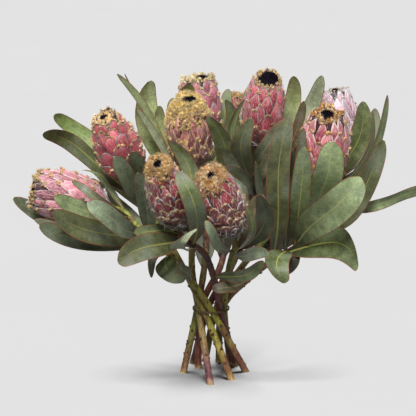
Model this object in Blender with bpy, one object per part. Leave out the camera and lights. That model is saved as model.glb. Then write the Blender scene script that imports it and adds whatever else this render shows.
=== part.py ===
"""A hand-tied bunch of ten queen proteas, standing on its splayed and flat-cut stem ends.

The stems cross in a spiral: near the waist they lie on one hyperboloid, so that each leans past its neighbours
without touching them. Above it each one bends to its own flower head. The tables are in millimetres in the
layout's own frame, with the floor at z = 0 and the front of the bunch at -Y. The finished solids are moved so
that the middle of their bounding box stands over the origin.
"""

import math

import bmesh
import bpy
from mathutils import Matrix, Vector
from mathutils.bvhtree import BVHTree

MM = 0.001
RING = 20.6  # radius of the ring of stem centres at the waist
WAIST = 100.0  # height of the waist
STEM_RADIUS = 5.1
GAP = 0.3  # left between pieces that touch
STEM_SIDES = 8
NUB_CLEARANCE = 8.5  # from the top of a leaf scar to the middle of another stem

# One row per flower: base and crown of the head, its greatest diameter, and the radius share of its mouth.
HEADS = {
    1: ((-152, -10, 258), (-264, -22, 291), 74, 0.74),
    2: ((-115, 10, 291), (-161, -5, 401), 71, 0.48),
    3: ((-12, 80, 338), (-22, 106, 444), 64, 0.74),
    4: ((-27, 10, 312), (-36, -15, 427), 71, 0.5),
    5: ((70, 45, 342), (86, 20, 457), 63, 0.58),
    6: ((199, 90, 310), (189, 110, 419), 70, 0.52),
    7: ((163, 5, 285), (172, -25, 411), 77, 0.56),
    8: ((-47, -80, 246), (-76, -135, 354), 60, 0.5),
    9: ((30, -90, 236), (-1, -140, 341), 69, 0.48),
    10: ((38, 140, 292), (45, 185, 392), 60, 0.56),
}

# One row per stem: its end on the floor, its angle on the waist ring, and the bends between waist and head.
STEMS = {
    1: ((53, -2), 275, [(-22, -30, 140), (-60, -32, 190), (-108, -24, 232)]),
    2: ((31, -43), 240, [(-36, -14, 155), (-66, 2, 205), (-98, 10, 250)]),
    3: ((-42, -7), 168, [(-8, 40, 175), (-8, 62, 240)]),
    4: ((-1, -65), 204, [(-29, 14, 160), (-26, 24, 230)]),
    5: ((-28, 40), 96, [(36, 20, 170), (58, 42, 240)]),
    6: ((-9, 50), 60, [(48, 4, 165), (110, 50, 225), (165, 76, 265)]),
    7: ((12, 48), 24, [(52, -22, 148), (92, -22, 180), (136, -10, 205), (158, 4, 245)]),
    8: ((39, 30), 313, [(2, -36, 165), (-12, -50, 200)]),
    9: ((30, 40), 348, [(26, -34, 165), (32, -58, 200)]),
    10: ((-20, 16), 132, [(16, 38, 160), (28, 90, 230)]),
}

# One row per leaf, by stem: height of its base on the stem, tip, width, roll in degrees (0 shows its face to
# the front) and how far its middle bends off the straight line. The first ones keep their pose, and each later
# one turns until it is clear.
LEAVES = {
    1: [
        (218, (-106, -115, 334), 26, 5, (4, -14, 0)),
        (212, (-228, -120, 276), 36, 0, (0, -8, -8)),
        (222, (-178, -125, 292), 30, 0, (0, -10, -4)),
        (205, (-250, -95, 250), 33, 10, (0, -8, -5)),
        (240, (-227, -105, 295), 28, 10, (0, -22, -2)),
        (246, (-203, -75, 313), 15, 20, (0, -30, 4)),
        (212, (-297, 10, 268), 32, 15, (0, 14, -14)),
        (248, (-194, 25, 308), 18, 60, (0, 16, 10)),
        (222, (-260, -55, 250), 20, 20, (0, -5, -8)),
        (192, (-42, -75, 160), 32, 0, (-14, -14, 4)),
        (185, (-88, -90, 172), 14, 20, (-8, -12, 25)),
        (148, (-50, -95, 197), 18, 30, (0, -8, 4)),
    ],
    2: [
        (262, (-141, -70, 348), 27, 10, (0, -8, 0)),
        (268, (-114, -75, 358), 26, -5, (4, -8, 0)),
        (274, (-235, 30, 392), 26, 10, (-6, 30, 12)),
        (266, (-249, 0, 369), 27, -15, (-10, 34, 10)),
        (240, (-95, -20, 330), 28, 10, (6, -6, 0)),
    ],
    8: [
        (214, (-47, -150, 344), 30, 5, (16, -25, 0)),
        (222, (-134, -140, 208), 38, 0, (0, -15, 12)),
        (228, (-111, -135, 251), 21, 10, (0, -8, 8)),
        (234, (-60, -60, 370), 26, -10, (24, 18, 0)),
        (236, (-28, -130, 284), 16, 20, (4, -10, 0)),
        (208, (-22, -130, 255), 22, -5, (-28, -14, -8)),
        (158, (76, -110, 202), 21, 25, (0, -12, -8)),
        (212, (-70, -20, 330), 30, 0, (4, 14, 0)),
    ],
    9: [
        (206, (70, -120, 303), 30, 10, (22, 4, -10)),
        (204, (50, -125, 288), 13, 30, (16, -6, -8)),
        (198, (83, -150, 225), 20, 30, (0, -20, 4)),
        (205, (-9, -138, 268), 18, 15, (-6, -14, -4)),
        (212, (19, -75, 361), 24, 0, (16, 34, 0)),
        (190, (75, -60, 290), 30, 0, (0, -6, 0)),
    ],
    7: [
        (198, (212, -140, 333), 52, 5, (-6, -35, 5)),
        (188, (214, -110, 195), 48, 0, (14, -12, 30)),
        (235, (172, -110, 379), 45, 5, (0, -30, 0)),
        (197, (134, -110, 371), 30, -5, (0, -25, 0)),
        (180, (112, -70, 407), 35, 0, (-4, -30, 0)),
        (192, (104, -130, 174), 36, 0, (-12, -30, 22)),
        (215, (254, -30, 365), 32, 20, (16, -15, -20)),
        (235, (261, 0, 427), 17, 40, (20, 0, -20)),
        (255, (240, 10, 401), 14, 50, (24, 10, -10)),
        (252, (335, -40, 299), 18, 30, (14, 0, -6)),
        (152, (2, -60, 144), 20, 20, (0, -15, 0)),
        (222, (134, -55, 388), 18, 0, (-6, -10, 0)),
        (190, (112, -50, 164), 32, 15, (6, -10, 12)),
        (190, (120, -15, 345), 34, 10, (4, -4, 0)),
    ],
    5: [
        (275, (57, -55, 403), 31, 0, (-14, -35, 0)),
        (285, (106, -30, 395), 24, 0, (-12, -35, 0)),
        (262, (99, -70, 366), 22, 25, (-14, -50, 0)),
        (245, (64, -60, 338), 14, 40, (12, -10, -10)),
        (250, (21, -75, 334), 20, 10, (26, -20, -4)),
        (285, (49, -10, 423), 14, 20, (-25, -15, 0)),
        (280, (126, 50, 447), 27, 0, (19, 25, 0)),
        (270, (168, 60, 446), 26, 0, (8, 30, -10)),
        (290, (138, 0, 418), 16, 10, (20, -15, 0)),
        (230, (120, 120, 330), 30, 0, (10, 10, -8)),
        (225, (100, -10, 330), 34, 0, (0, -6, 0)),
    ],
    4: [
        (262, (-92, 25, 444), 38, 0, (-26, 18, 0)),
        (255, (-138, -15, 461), 13, 15, (4, 15, 0)),
        (262, (-128, 5, 458), 8, 50, (0, 20, 0)),
        (268, (-110, -12, 410), 13, 20, (0, 0, 0)),
        (285, (-60, 15, 412), 24, 0, (-18, 10, 0)),
        (275, (-3, -45, 404), 32, 0, (38, -30, 0)),
        (285, (24, 40, 413), 24, 0, (25, 20, 0)),
        (290, (-34, 50, 435), 30, 0, (-5, 42, 0)),
        (280, (-78, 30, 405), 20, 0, (-12, 15, 0)),
    ],
    6: [
        (270, (229, 30, 412), 32, 0, (11, -10, -10)),
        (250, (255, 120, 385), 30, 0, (20, 20, -10)),
        (235, (262, 110, 300), 30, 0, (10, 20, -8)),
        (262, (160, 160, 385), 28, 0, (-10, 20, 0)),
        (225, (215, 160, 270), 34, 0, (0, 20, 10)),
        (222, (150, 30, 372), 34, 0, (-6, -6, 0)),
    ],
    3: [
        (290, (57, 50, 430), 26, 0, (14, -10, -14)),
        (280, (-60, 130, 400), 28, 0, (-8, 14, 0)),
        (262, (-75, 100, 360), 28, 0, (-8, 10, 0)),
    ],
    10: [
        (270, (26, 140, 412), 22, 0, (-14, 12, 0)),
        (240, (105, 190, 360), 30, 0, (10, 14, -8)),
        (225, (20, 205, 330), 32, 0, (0, 14, -8)),
        (200, (75, 185, 240), 32, 0, (0, 12, 12)),
        (215, (-45, 185, 290), 30, 0, (-6, 12, -6)),
        (195, (45, 60, 330), 34, 0, (0, -4, 0)),
    ],
}
BACK_LEAVES = {
    1: [
        (215, (-185, 75, 285), 30, 0, (0, 14, -6)),
        (190, (-150, 85, 215), 32, 0, (0, 12, 12)),
        (200, (-170, 55, 252), 32, 0, (0, 10, -4)),
    ],
    2: [(240, (-195, 80, 345), 30, 0, (0, 14, -6)), (225, (-120, 110, 330), 30, 0, (0, 14, -6))],
    3: [(150, (-6, 75, 232), 34, 0, (0, 10, 0))],
    4: [(190, (-82, 45, 240), 34, 0, (0, 8, -4))],
    5: [(235, (72, 60, 352), 34, 0, (0, 12, 0))],
    6: [(185, (140, 70, 218), 34, 0, (0, 8, -8)), (245, (226, 95, 335), 30, 0, (0, 8, 0))],
    10: [(160, (22, 80, 240), 30, 0, (0, 10, 0))],
}

# Share of the leaf's length, and share of its width there: first the solid's few rows, then the rounder
# outline that the clearance is kept for as well.
LEAF_OUTLINE = [(0.0, 0.13), (0.2, 0.68), (0.5, 1.0), (0.84, 0.88), (1.0, 0.42)]
TRUE_OUTLINE = [
    (0.0, 0.12), (0.06, 0.22), (0.15, 0.5), (0.28, 0.8), (0.42, 0.96), (0.54, 1.0),
    (0.68, 0.99), (0.8, 0.92), (0.9, 0.77), (0.96, 0.56), (1.0, 0.16),
]
LEAF_THICKNESS = 1.0
LEAF_FOLD = 0.16  # rise of the rims over the midrib, as a share of the half width
LEAF_TWIST = math.radians(14)
LEAF_SWAY = 0.025  # sideways swing of the midrib, as a share of the leaf's length
LEAF_PHASE = 2.4  # sets each leaf's sway and twist apart from the last one's
LEAF_CLEARANCE = 0.55  # kept free on each face of a leaf
SIGHT_LINE = Vector((0, 1, -0.231))  # away from the front, down a line of sight 13 degrees above the level

# Height share along the head, and radius share there.
HEAD_PROFILE = [(0.0, 0.28), (0.1, 0.62), (0.28, 0.9), (0.5, 1.0), (0.72, 0.92), (0.9, 0.7), (1.0, 0.52)]
HEAD_SIDES = 16
TIER_TIPS = (0.2, 0.36, 0.52, 0.68, 0.84, 1.01)
LIP_DEPTH = 0.1
CORE_TOP = 0.93
CENTRE_RADIUS = 0.34


def lerp_table(table, at):
    for (a, first), (b, second) in zip(table, table[1:]):
        if at <= b:
            return first + (second - first) * max(0.0, at - a) / (b - a)
    return table[-1][1]


def smooth_path(points, steps):
    """A centripetal Catmull-Rom curve through the points, with this many steps in each span."""
    points = [Vector(p) for p in points]
    points = [2 * points[0] - points[1], *points, 2 * points[-1] - points[-2]]
    path = []
    for p0, p1, p2, p3 in zip(points, points[1:], points[2:], points[3:]):
        t1 = (p1 - p0).length ** 0.5
        t2 = t1 + (p2 - p1).length ** 0.5
        t3 = t2 + (p3 - p2).length ** 0.5
        for step in range(steps):
            t = t1 + (t2 - t1) * step / steps
            a1 = p0.lerp(p1, t / t1)
            a2 = p1.lerp(p2, (t - t1) / (t2 - t1))
            a3 = p2.lerp(p3, (t - t2) / (t3 - t2))
            b1 = a1.lerp(a2, t / t2)
            b2 = a2.lerp(a3, (t - t1) / (t3 - t1))
            path.append(b1.lerp(b2, (t - t1) / (t2 - t1)))
    return [*path, points[-2]]


def head_radius(flower, share):
    """Radius of a head at a share of its length. An open head widens towards its mouth."""
    radius, mouth = HEADS[flower][2] / 2, HEADS[flower][3]
    return radius * (lerp_table(HEAD_PROFILE, share) + (mouth - HEAD_PROFILE[-1][1]) * share**3)


def head_frame(flower):
    """Base, axis, two directions across it, length and radius of a flower head."""
    base, crown, diameter, _ = HEADS[flower]
    base, crown = Vector(base), Vector(crown)
    axis = (crown - base).normalized()
    side = axis.cross(Vector((0, 1, 0))).normalized()
    return base, axis, side, axis.cross(side), (crown - base).length, diameter / 2


def stem_path(flower, steps):
    (floor_x, floor_y), angle, bends = STEMS[flower]
    base, axis, *_ = head_frame(flower)
    turn = math.radians(angle)
    waist = (RING * math.cos(turn), RING * math.sin(turn), WAIST)
    neck = base - axis * 22
    return smooth_path([(floor_x, floor_y, 0), waist, *bends, neck, base - axis * GAP], steps)


def point_at_height(path, height):
    for low, high in zip(path, path[1:]):
        if high.z >= height:
            return low.lerp(high, (height - low.z) / (high.z - low.z))
    return path[-1]


def rings_to_faces(rings, sides):
    """Faces between rings of as many points each, with a cap at either end."""
    faces = [tuple(reversed(range(sides)))]
    for ring in range(rings - 1):
        start = ring * sides
        for side in range(sides):
            after = (side + 1) % sides
            faces.append((start + side, start + after, start + sides + after, start + sides + side))
    faces.append(tuple(range((rings - 1) * sides, rings * sides)))
    return faces


def tube(path, radii, sides, end):
    """Points and faces of a round rod. Its first ring lies level on the floor, and its last one across end."""
    points = []
    across = Vector((1, 0, 0))
    for index, centre in enumerate(path):
        if index == len(path) - 1:
            tangent = end
        else:
            tangent = (path[index + 1] - path[max(index - 1, 0)]).normalized()
        across = (across - tangent * across.dot(tangent)).normalized()
        up = tangent.cross(across)
        for side in range(sides):
            turn = math.tau * side / sides
            point = centre + (across * math.cos(turn) + up * math.sin(turn)) * radii[index]
            if index == 0:
                point -= tangent * (point.z / tangent.z)
            points.append(point)
    return points, rings_to_faces(len(path), sides)


def stem_radius(share):
    """A stem thins towards the head and swells just under it."""
    return STEM_RADIUS - 0.7 * share + 2.6 * max(0.0, share - 0.93) / 0.07


def stem_solid(flower):
    path = stem_path(flower, 3)
    last = len(path) - 1
    axis = head_frame(flower)[1]
    return tube(path, [stem_radius(index / last) for index in range(last + 1)], STEM_SIDES, axis)


def nub_solid(centre, tangent, outward):
    """A leaf scar: a blunt pyramid that points up and away from the stem."""
    outward = (outward - tangent * outward.dot(tangent)).normalized()
    across = tangent.cross(outward)
    foot = centre + outward * (STEM_RADIUS - 2.2)
    corners = [foot - tangent * 5, foot + across * 3.2, foot + tangent * 3.4, foot - across * 3.2]
    top = centre + outward * (STEM_RADIUS + 2.0) + tangent * 1.4
    faces = [(3, 2, 1, 0), (0, 1, 4), (1, 2, 4), (2, 3, 4), (3, 0, 4)]
    return [*corners, top], faces


def nub_solids(flower):
    """Scars on the free side of the stem, left out where another stem runs too close."""
    path = stem_path(flower, 8)
    others = [point for other in STEMS if other != flower for point in stem_path(other, 8)]
    solids = []
    for index, height in enumerate((18, 38, 60, 134, 156)):
        at = point_at_height(path, height + flower % 4 * 3)
        above = point_at_height(path, height + flower % 4 * 3 + 4)
        outward = Matrix.Rotation(math.radians((-25, 20)[index % 2]), 3, "Z") @ Vector((at.x, at.y, 0))
        points, faces = nub_solid(at, (above - at).normalized(), outward)
        if min((points[-1] - point).length for point in others) > NUB_CLEARANCE:
            solids.append((points, faces))
    return solids


def leaf_rows(leaf, outline):
    """For each share of the outline: left rim, midrib, right rim and the direction that the face looks in."""
    base, tip, width, roll, bend, phase = leaf
    chord = tip - base
    along = chord.normalized()
    front = Vector((0, -1, 0.3)) if tip.y < 75 else Vector((tip.x * 0.004, 1, 0.3))
    face = (front - along * front.dot(along)).normalized()
    sway = along.cross(face) * (chord.length * LEAF_SWAY * math.sin(phase))
    twist = LEAF_TWIST * (1 + math.sin(phase * 2.3))
    rows = []
    for share, broad in outline:
        middle = base + chord * share + bend * (4 * share * (1 - share)) + sway * math.sin(math.tau * share)
        turn = Matrix.Rotation(roll + twist * (share - 0.5), 3, along)
        normal = turn @ face
        across = along.cross(normal) * (width * broad / 2)
        lift = normal * (width * broad / 2 * LEAF_FOLD)
        rows.append((middle - across + lift, middle, middle + across + lift, normal))
    return rows


def blade(rows, thickness):
    """A closed blade with three points across each row, and two at its base and its tip."""
    points = []
    for face in (0.5, -0.5):
        for index, (left, middle, right, normal) in enumerate(rows):
            lift = normal * (thickness * face)
            ends = index in (0, len(rows) - 1)
            points += [left + lift, right + lift] if ends else [left + lift, middle + lift, right + lift]
    half = len(points) // 2
    starts = [0, *range(2, half - 2, 3), half - 2]
    upper = []
    for low, high in zip(starts, starts[1:]):
        if low == 0:
            upper += [(0, high + 1, high), (0, 1, high + 1), (1, high + 2, high + 1)]
        elif high == half - 2:
            upper += [(low, low + 1, high), (low + 1, high + 1, high), (low + 1, low + 2, high + 1)]
        else:
            upper += [(low, low + 1, high), (low + 1, high + 1, high)]
            upper += [(low + 1, low + 2, high + 1), (low + 2, high + 2, high + 1)]
    rim = [*starts, half - 1]
    rim += [start + 2 for start in reversed(starts[1:-1])] + [1]
    faces = upper + [tuple(reversed([corner + half for corner in face])) for face in upper]
    for here, there in zip(rim, [*rim[1:], rim[0]]):
        faces += [(here, there, there + half), (here, there + half, here + half)]
    return points, faces


def envelope(flower):
    """A plain solid that holds a whole flower head, for the leaves to keep clear of."""
    base, axis, side, other, length, radius = head_frame(flower)
    points = []
    shares = (-0.01, *(share for share, _ in HEAD_PROFILE[1:]), 1.07)
    for share in shares:
        around = head_radius(flower, share) + 1.6
        for step in range(HEAD_SIDES):
            turn = math.tau * step / HEAD_SIDES
            spoke = side * math.cos(turn) + other * math.sin(turn)
            points.append(base + axis * length * share + spoke * around)
    return points, rings_to_faces(len(shares), HEAD_SIDES)


def tree_of(*solids):
    points, faces = [], []
    for some_points, some_faces in solids:
        faces += [tuple(corner + len(points) for corner in face) for face in some_faces]
        points += some_points
    return BVHTree.FromPolygons(points, faces)


def turns():
    """The changes that a leaf tries, smallest first: of tip and middle along the sight line, and of roll."""
    shifts = (0, -8, 8, -16, 16, -26, 26, -38, 38, -52, 52)
    tries = [(tip, middle, roll) for tip in shifts for middle in shifts[:9] for roll in (0, 14, -14, 30, -30)]
    return sorted(tries, key=lambda change: abs(change[0]) + abs(change[1]) + abs(change[2]) * 0.6)


def guard(leaf, first):
    """A tree of the leaf from this row on, thicker by its clearance, and the box around it."""
    thickness = LEAF_THICKNESS + 2 * LEAF_CLEARANCE
    coarse = blade(leaf_rows(leaf, LEAF_OUTLINE[first:]), thickness)
    fine = blade(leaf_rows(leaf, TRUE_OUTLINE[2 * first:]), thickness)
    low, high = ([edge(point[axis] for point in fine[0]) - sign for axis in range(3)]
                 for edge, sign in ((min, 3), (max, -3)))
    return tree_of(coarse, fine), low, high


def meet(first, second):
    """Whether two guards touch. Their boxes are compared first, because that is quick."""
    for axis in range(3):
        if first[1][axis] > second[2][axis] or second[1][axis] > first[2][axis]:
            return False
    return bool(first[0].overlap(second[0]))


def solid_guard(*solids):
    points = [point for solid in solids for point in solid[0]]
    corners = [[edge(point[axis] for point in points) for axis in range(3)] for edge in (min, max)]
    return tree_of(*solids), *corners


def settle(flower, leaf, woods, heads, settled):
    """The leaf with its guards, or None where it meets anything. Its root may sink into its own stem."""
    whole = guard(leaf, 0)
    if any(meet(whole, wood) for other, wood in woods.items() if other != flower):
        return None
    if any(meet(whole, head) for head in heads):
        return None
    if any(meet(whole, its_whole) for other, _, its_whole, _ in settled if other != flower):
        return None
    outer = guard(leaf, 1)
    if meet(outer, woods[flower]):
        return None
    if any(meet(outer, its_outer) for other, _, _, its_outer in settled if other == flower):
        return None
    return flower, leaf, whole, outer


def placed_leaves():
    """Every leaf, settled one after another: each takes the first of its poses that is clear of the rest."""
    changes = turns()
    paths = {flower: stem_path(flower, 8) for flower in STEMS}
    woods = {flower: solid_guard(stem_solid(flower), *nub_solids(flower)) for flower in STEMS}
    heads = [solid_guard(envelope(flower)) for flower in HEADS]
    rows = [(flower, *row) for table in (LEAVES, BACK_LEAVES) for flower in table for row in table[flower]]
    settled = []
    for index, (flower, height, tip, width, roll, bend) in enumerate(rows):
        base = point_at_height(paths[flower], height)
        for tip_shift, middle_shift, turn in changes:
            end = Vector(tip) + SIGHT_LINE * tip_shift
            curve = Vector(bend) + SIGHT_LINE * middle_shift
            leaf = (base, end, width, math.radians(roll + turn), curve, index * LEAF_PHASE)
            found = settle(flower, leaf, woods, heads, settled)
            if found:
                settled.append(found)
                break
        else:
            print("left out:", flower, height, tip)
    return [(flower, leaf) for flower, leaf, _, _ in settled]


def head_solid(flower):
    """A head of overlapping bracts, as one skin: each tier ends in a zigzag lip and steps in behind it."""
    base, axis, side, other, length, radius = head_frame(flower)
    rings = [[(0.0, head_radius(flower, 0.0))] * HEAD_SIDES]
    for tier, tip in enumerate(TIER_TIPS):
        lip, step = [], []
        for corner in range(HEAD_SIDES):
            is_tip = corner % 2 == tier % 2
            share = tip if is_tip else tip - LIP_DEPTH
            around = head_radius(flower, share)
            lip.append((share, around + (1.4 if is_tip else -0.6)))
            step.append((share - 0.012, around - (2.4 if is_tip else 1.9)))
        rings += [lip, step]
    rings.append([(CORE_TOP, radius * CENTRE_RADIUS + 1.2)] * HEAD_SIDES)
    points = []
    for ring in rings:
        for corner, (share, around) in enumerate(ring):
            turn = math.tau * corner / HEAD_SIDES
            spoke = side * math.cos(turn) + other * math.sin(turn)
            points.append(base + axis * length * share + spoke * around)
    return points, rings_to_faces(len(rings), HEAD_SIDES)


def centre_solid(flower):
    """The closed dark styles in the mouth of the head: a small dome on the core."""
    base, axis, side, other, length, radius = head_frame(flower)
    points = []
    floor = length * CORE_TOP + GAP
    rows = ((0.0, 0.86), (0.35, 1.0), (0.75, 0.78), (1.0, 0.36))
    for rise, broad in rows:
        for step in range(STEM_SIDES):
            turn = math.tau * step / STEM_SIDES
            spoke = (side * math.cos(turn) + other * math.sin(turn)) * radius * CENTRE_RADIUS * broad
            points.append(base + axis * (floor + rise * length * 0.11) + spoke)
    return points, rings_to_faces(len(rows), STEM_SIDES)


def tie_solid():
    """Two close turns of twine round the waist, as one band."""
    inner = RING + STEM_RADIUS + GAP + 0.35
    profile = [(inner, -1.8), (inner + 1.8, -1.5), (inner + 1.8, 1.5), (inner, 1.8)]
    steps = 30
    points = []
    for step in range(steps):
        turn = math.tau * step / steps
        points += [Vector((math.cos(turn) * r, math.sin(turn) * r, WAIST + z)) for r, z in profile]
    faces = []
    for step in range(steps):
        here, there = step * 4, (step + 1) % steps * 4
        for corner in range(4):
            after = (corner + 1) % 4
            faces.append((here + corner, there + corner, there + after, here + after))
    return points, faces


def mesh_object(name, solid, collection):
    points, faces = solid
    mesh = bpy.data.meshes.new(name)
    mesh.from_pydata([point * MM for point in points], [], faces)
    sculpt = bmesh.new()
    sculpt.from_mesh(mesh)
    bmesh.ops.triangulate(sculpt, faces=sculpt.faces)
    bmesh.ops.recalc_face_normals(sculpt, faces=sculpt.faces)
    sculpt.to_mesh(mesh)
    sculpt.free()
    obj = bpy.data.objects.new(name, mesh)
    collection.objects.link(obj)
    return obj


def fused(name, body, additions):
    """One object: the body with every addition joined to it by a single Boolean union."""
    obj = mesh_object(name, body, bpy.context.scene.collection)
    extras = bpy.data.collections.new(name + "_additions")
    bpy.context.scene.collection.children.link(extras)
    for index, solid in enumerate(additions):
        mesh_object(f"{name}_addition_{index}", solid, extras)
    union = obj.modifiers.new("union", "BOOLEAN")
    union.operation = "UNION"
    union.operand_type = "COLLECTION"
    union.collection = extras
    union.solver = "MANIFOLD"
    bpy.context.view_layer.update()
    evaluated = obj.evaluated_get(bpy.context.evaluated_depsgraph_get())
    obj.data = bpy.data.meshes.new_from_object(evaluated)
    obj.modifiers.clear()
    for extra in list(extras.objects):
        bpy.data.objects.remove(extra)
    bpy.data.collections.remove(extras)
    return obj


def material(name, colour, roughness):
    made = bpy.data.materials.new(name)
    made.use_nodes = True
    shader = made.node_tree.nodes["Principled BSDF"]
    shader.inputs["Base Color"].default_value = (*colour, 1)
    shader.inputs["Roughness"].default_value = roughness
    return made


def build():
    for obj in list(bpy.data.objects):
        bpy.data.objects.remove(obj)
    wood = material("leafy_stem", (0.16, 0.2, 0.09), 0.6)
    petal = material("bract", (0.45, 0.13, 0.16), 0.55)
    dark = material("styles", (0.02, 0.01, 0.02), 0.9)
    twine = material("twine", (0.3, 0.22, 0.1), 0.9)
    settled = placed_leaves()
    made = []
    for flower in HEADS:
        own = [leaf for owner, leaf in settled if owner == flower]
        leaves = [blade(leaf_rows(leaf, LEAF_OUTLINE), LEAF_THICKNESS) for leaf in own]
        stem = fused(f"stem_{flower:02d}", stem_solid(flower), nub_solids(flower) + leaves)
        head = mesh_object(f"head_{flower:02d}", head_solid(flower), bpy.context.scene.collection)
        centre = mesh_object(f"centre_{flower:02d}", centre_solid(flower), bpy.context.scene.collection)
        for obj, look in ((stem, wood), (head, petal), (centre, dark)):
            obj.data.materials.clear()
            obj.data.materials.append(look)
            made.append(obj)
    tie = mesh_object("tie", tie_solid(), bpy.context.scene.collection)
    tie.data.materials.append(twine)
    made.append(tie)
    corners = [vertex.co for obj in made for vertex in obj.data.vertices]
    sides = [[corner[axis] for corner in corners] for axis in (0, 1)]
    middle = Vector([(min(side) + max(side)) / 2 for side in sides] + [0])
    for obj in made:
        obj.data.transform(Matrix.Translation(-middle))


build()
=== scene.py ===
"""The looks of a hand-tied bunch of ten queen proteas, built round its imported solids.

The tables of the layout and the rules that place stems, heads and leaves repeat the part's own numbers, in
millimetres, with the floor at z = 0 and the front of the bunch at -Y. Each finished mesh is turned into
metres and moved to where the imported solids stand.
"""

import math

import bpy
import numpy as np
from mathutils import Matrix, Vector
from mathutils.bvhtree import BVHTree


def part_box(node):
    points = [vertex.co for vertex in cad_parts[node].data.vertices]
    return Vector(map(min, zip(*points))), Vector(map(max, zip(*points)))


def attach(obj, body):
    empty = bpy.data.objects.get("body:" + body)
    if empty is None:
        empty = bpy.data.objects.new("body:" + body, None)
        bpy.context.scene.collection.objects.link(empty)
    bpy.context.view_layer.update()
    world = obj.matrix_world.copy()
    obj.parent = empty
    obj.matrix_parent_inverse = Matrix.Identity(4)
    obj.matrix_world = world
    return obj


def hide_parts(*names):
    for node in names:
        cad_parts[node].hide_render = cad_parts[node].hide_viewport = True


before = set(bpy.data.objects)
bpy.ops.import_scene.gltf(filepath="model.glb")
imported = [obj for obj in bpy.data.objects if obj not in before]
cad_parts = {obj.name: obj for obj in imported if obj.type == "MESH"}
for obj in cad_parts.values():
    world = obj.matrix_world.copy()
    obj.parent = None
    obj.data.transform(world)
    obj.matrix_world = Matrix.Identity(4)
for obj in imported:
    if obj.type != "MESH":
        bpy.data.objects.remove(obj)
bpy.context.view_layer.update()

MM = 0.001
RING = 20.6  # radius of the ring of stem centres at the waist
WAIST = 100.0  # height of the waist
STEM_RADIUS = 5.1
GAP = 0.3  # left between pieces that touch
NECK = 22  # length of the straight end of a stem, below its head
SCAR_CLEARANCE = 8.5  # from the top of a leaf scar to the middle of another stem
STEM_SIDES = 8  # of the plain rods that leaves keep clear of
HEAD_SIDES = 16  # of the plain heads that leaves keep clear of

# One row per flower: base and crown of the head, its greatest diameter, and the radius share of its mouth.
HEADS = {
    1: ((-152, -10, 258), (-264, -22, 291), 74, 0.74),
    2: ((-115, 10, 291), (-161, -5, 401), 71, 0.48),
    3: ((-12, 80, 338), (-22, 106, 444), 64, 0.74),
    4: ((-27, 10, 312), (-36, -15, 427), 71, 0.5),
    5: ((70, 45, 342), (86, 20, 457), 63, 0.58),
    6: ((199, 90, 310), (189, 110, 419), 70, 0.52),
    7: ((163, 5, 285), (172, -25, 411), 77, 0.56),
    8: ((-47, -80, 246), (-76, -135, 354), 60, 0.5),
    9: ((30, -90, 236), (-1, -140, 341), 69, 0.48),
    10: ((38, 140, 292), (45, 185, 392), 60, 0.56),
}

# One row per stem: its end on the floor, its angle on the waist ring, and the bends between waist and head.
STEMS = {
    1: ((53, -2), 275, [(-22, -30, 140), (-60, -32, 190), (-108, -24, 232)]),
    2: ((31, -43), 240, [(-36, -14, 155), (-66, 2, 205), (-98, 10, 250)]),
    3: ((-42, -7), 168, [(-8, 40, 175), (-8, 62, 240)]),
    4: ((-1, -65), 204, [(-29, 14, 160), (-26, 24, 230)]),
    5: ((-28, 40), 96, [(36, 20, 170), (58, 42, 240)]),
    6: ((-9, 50), 60, [(48, 4, 165), (110, 50, 225), (165, 76, 265)]),
    7: ((12, 48), 24, [(52, -22, 148), (92, -22, 180), (136, -10, 205), (158, 4, 245)]),
    8: ((39, 30), 313, [(2, -36, 165), (-12, -50, 200)]),
    9: ((30, 40), 348, [(26, -34, 165), (32, -58, 200)]),
    10: ((-20, 16), 132, [(16, 38, 160), (28, 90, 230)]),
}

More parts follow.
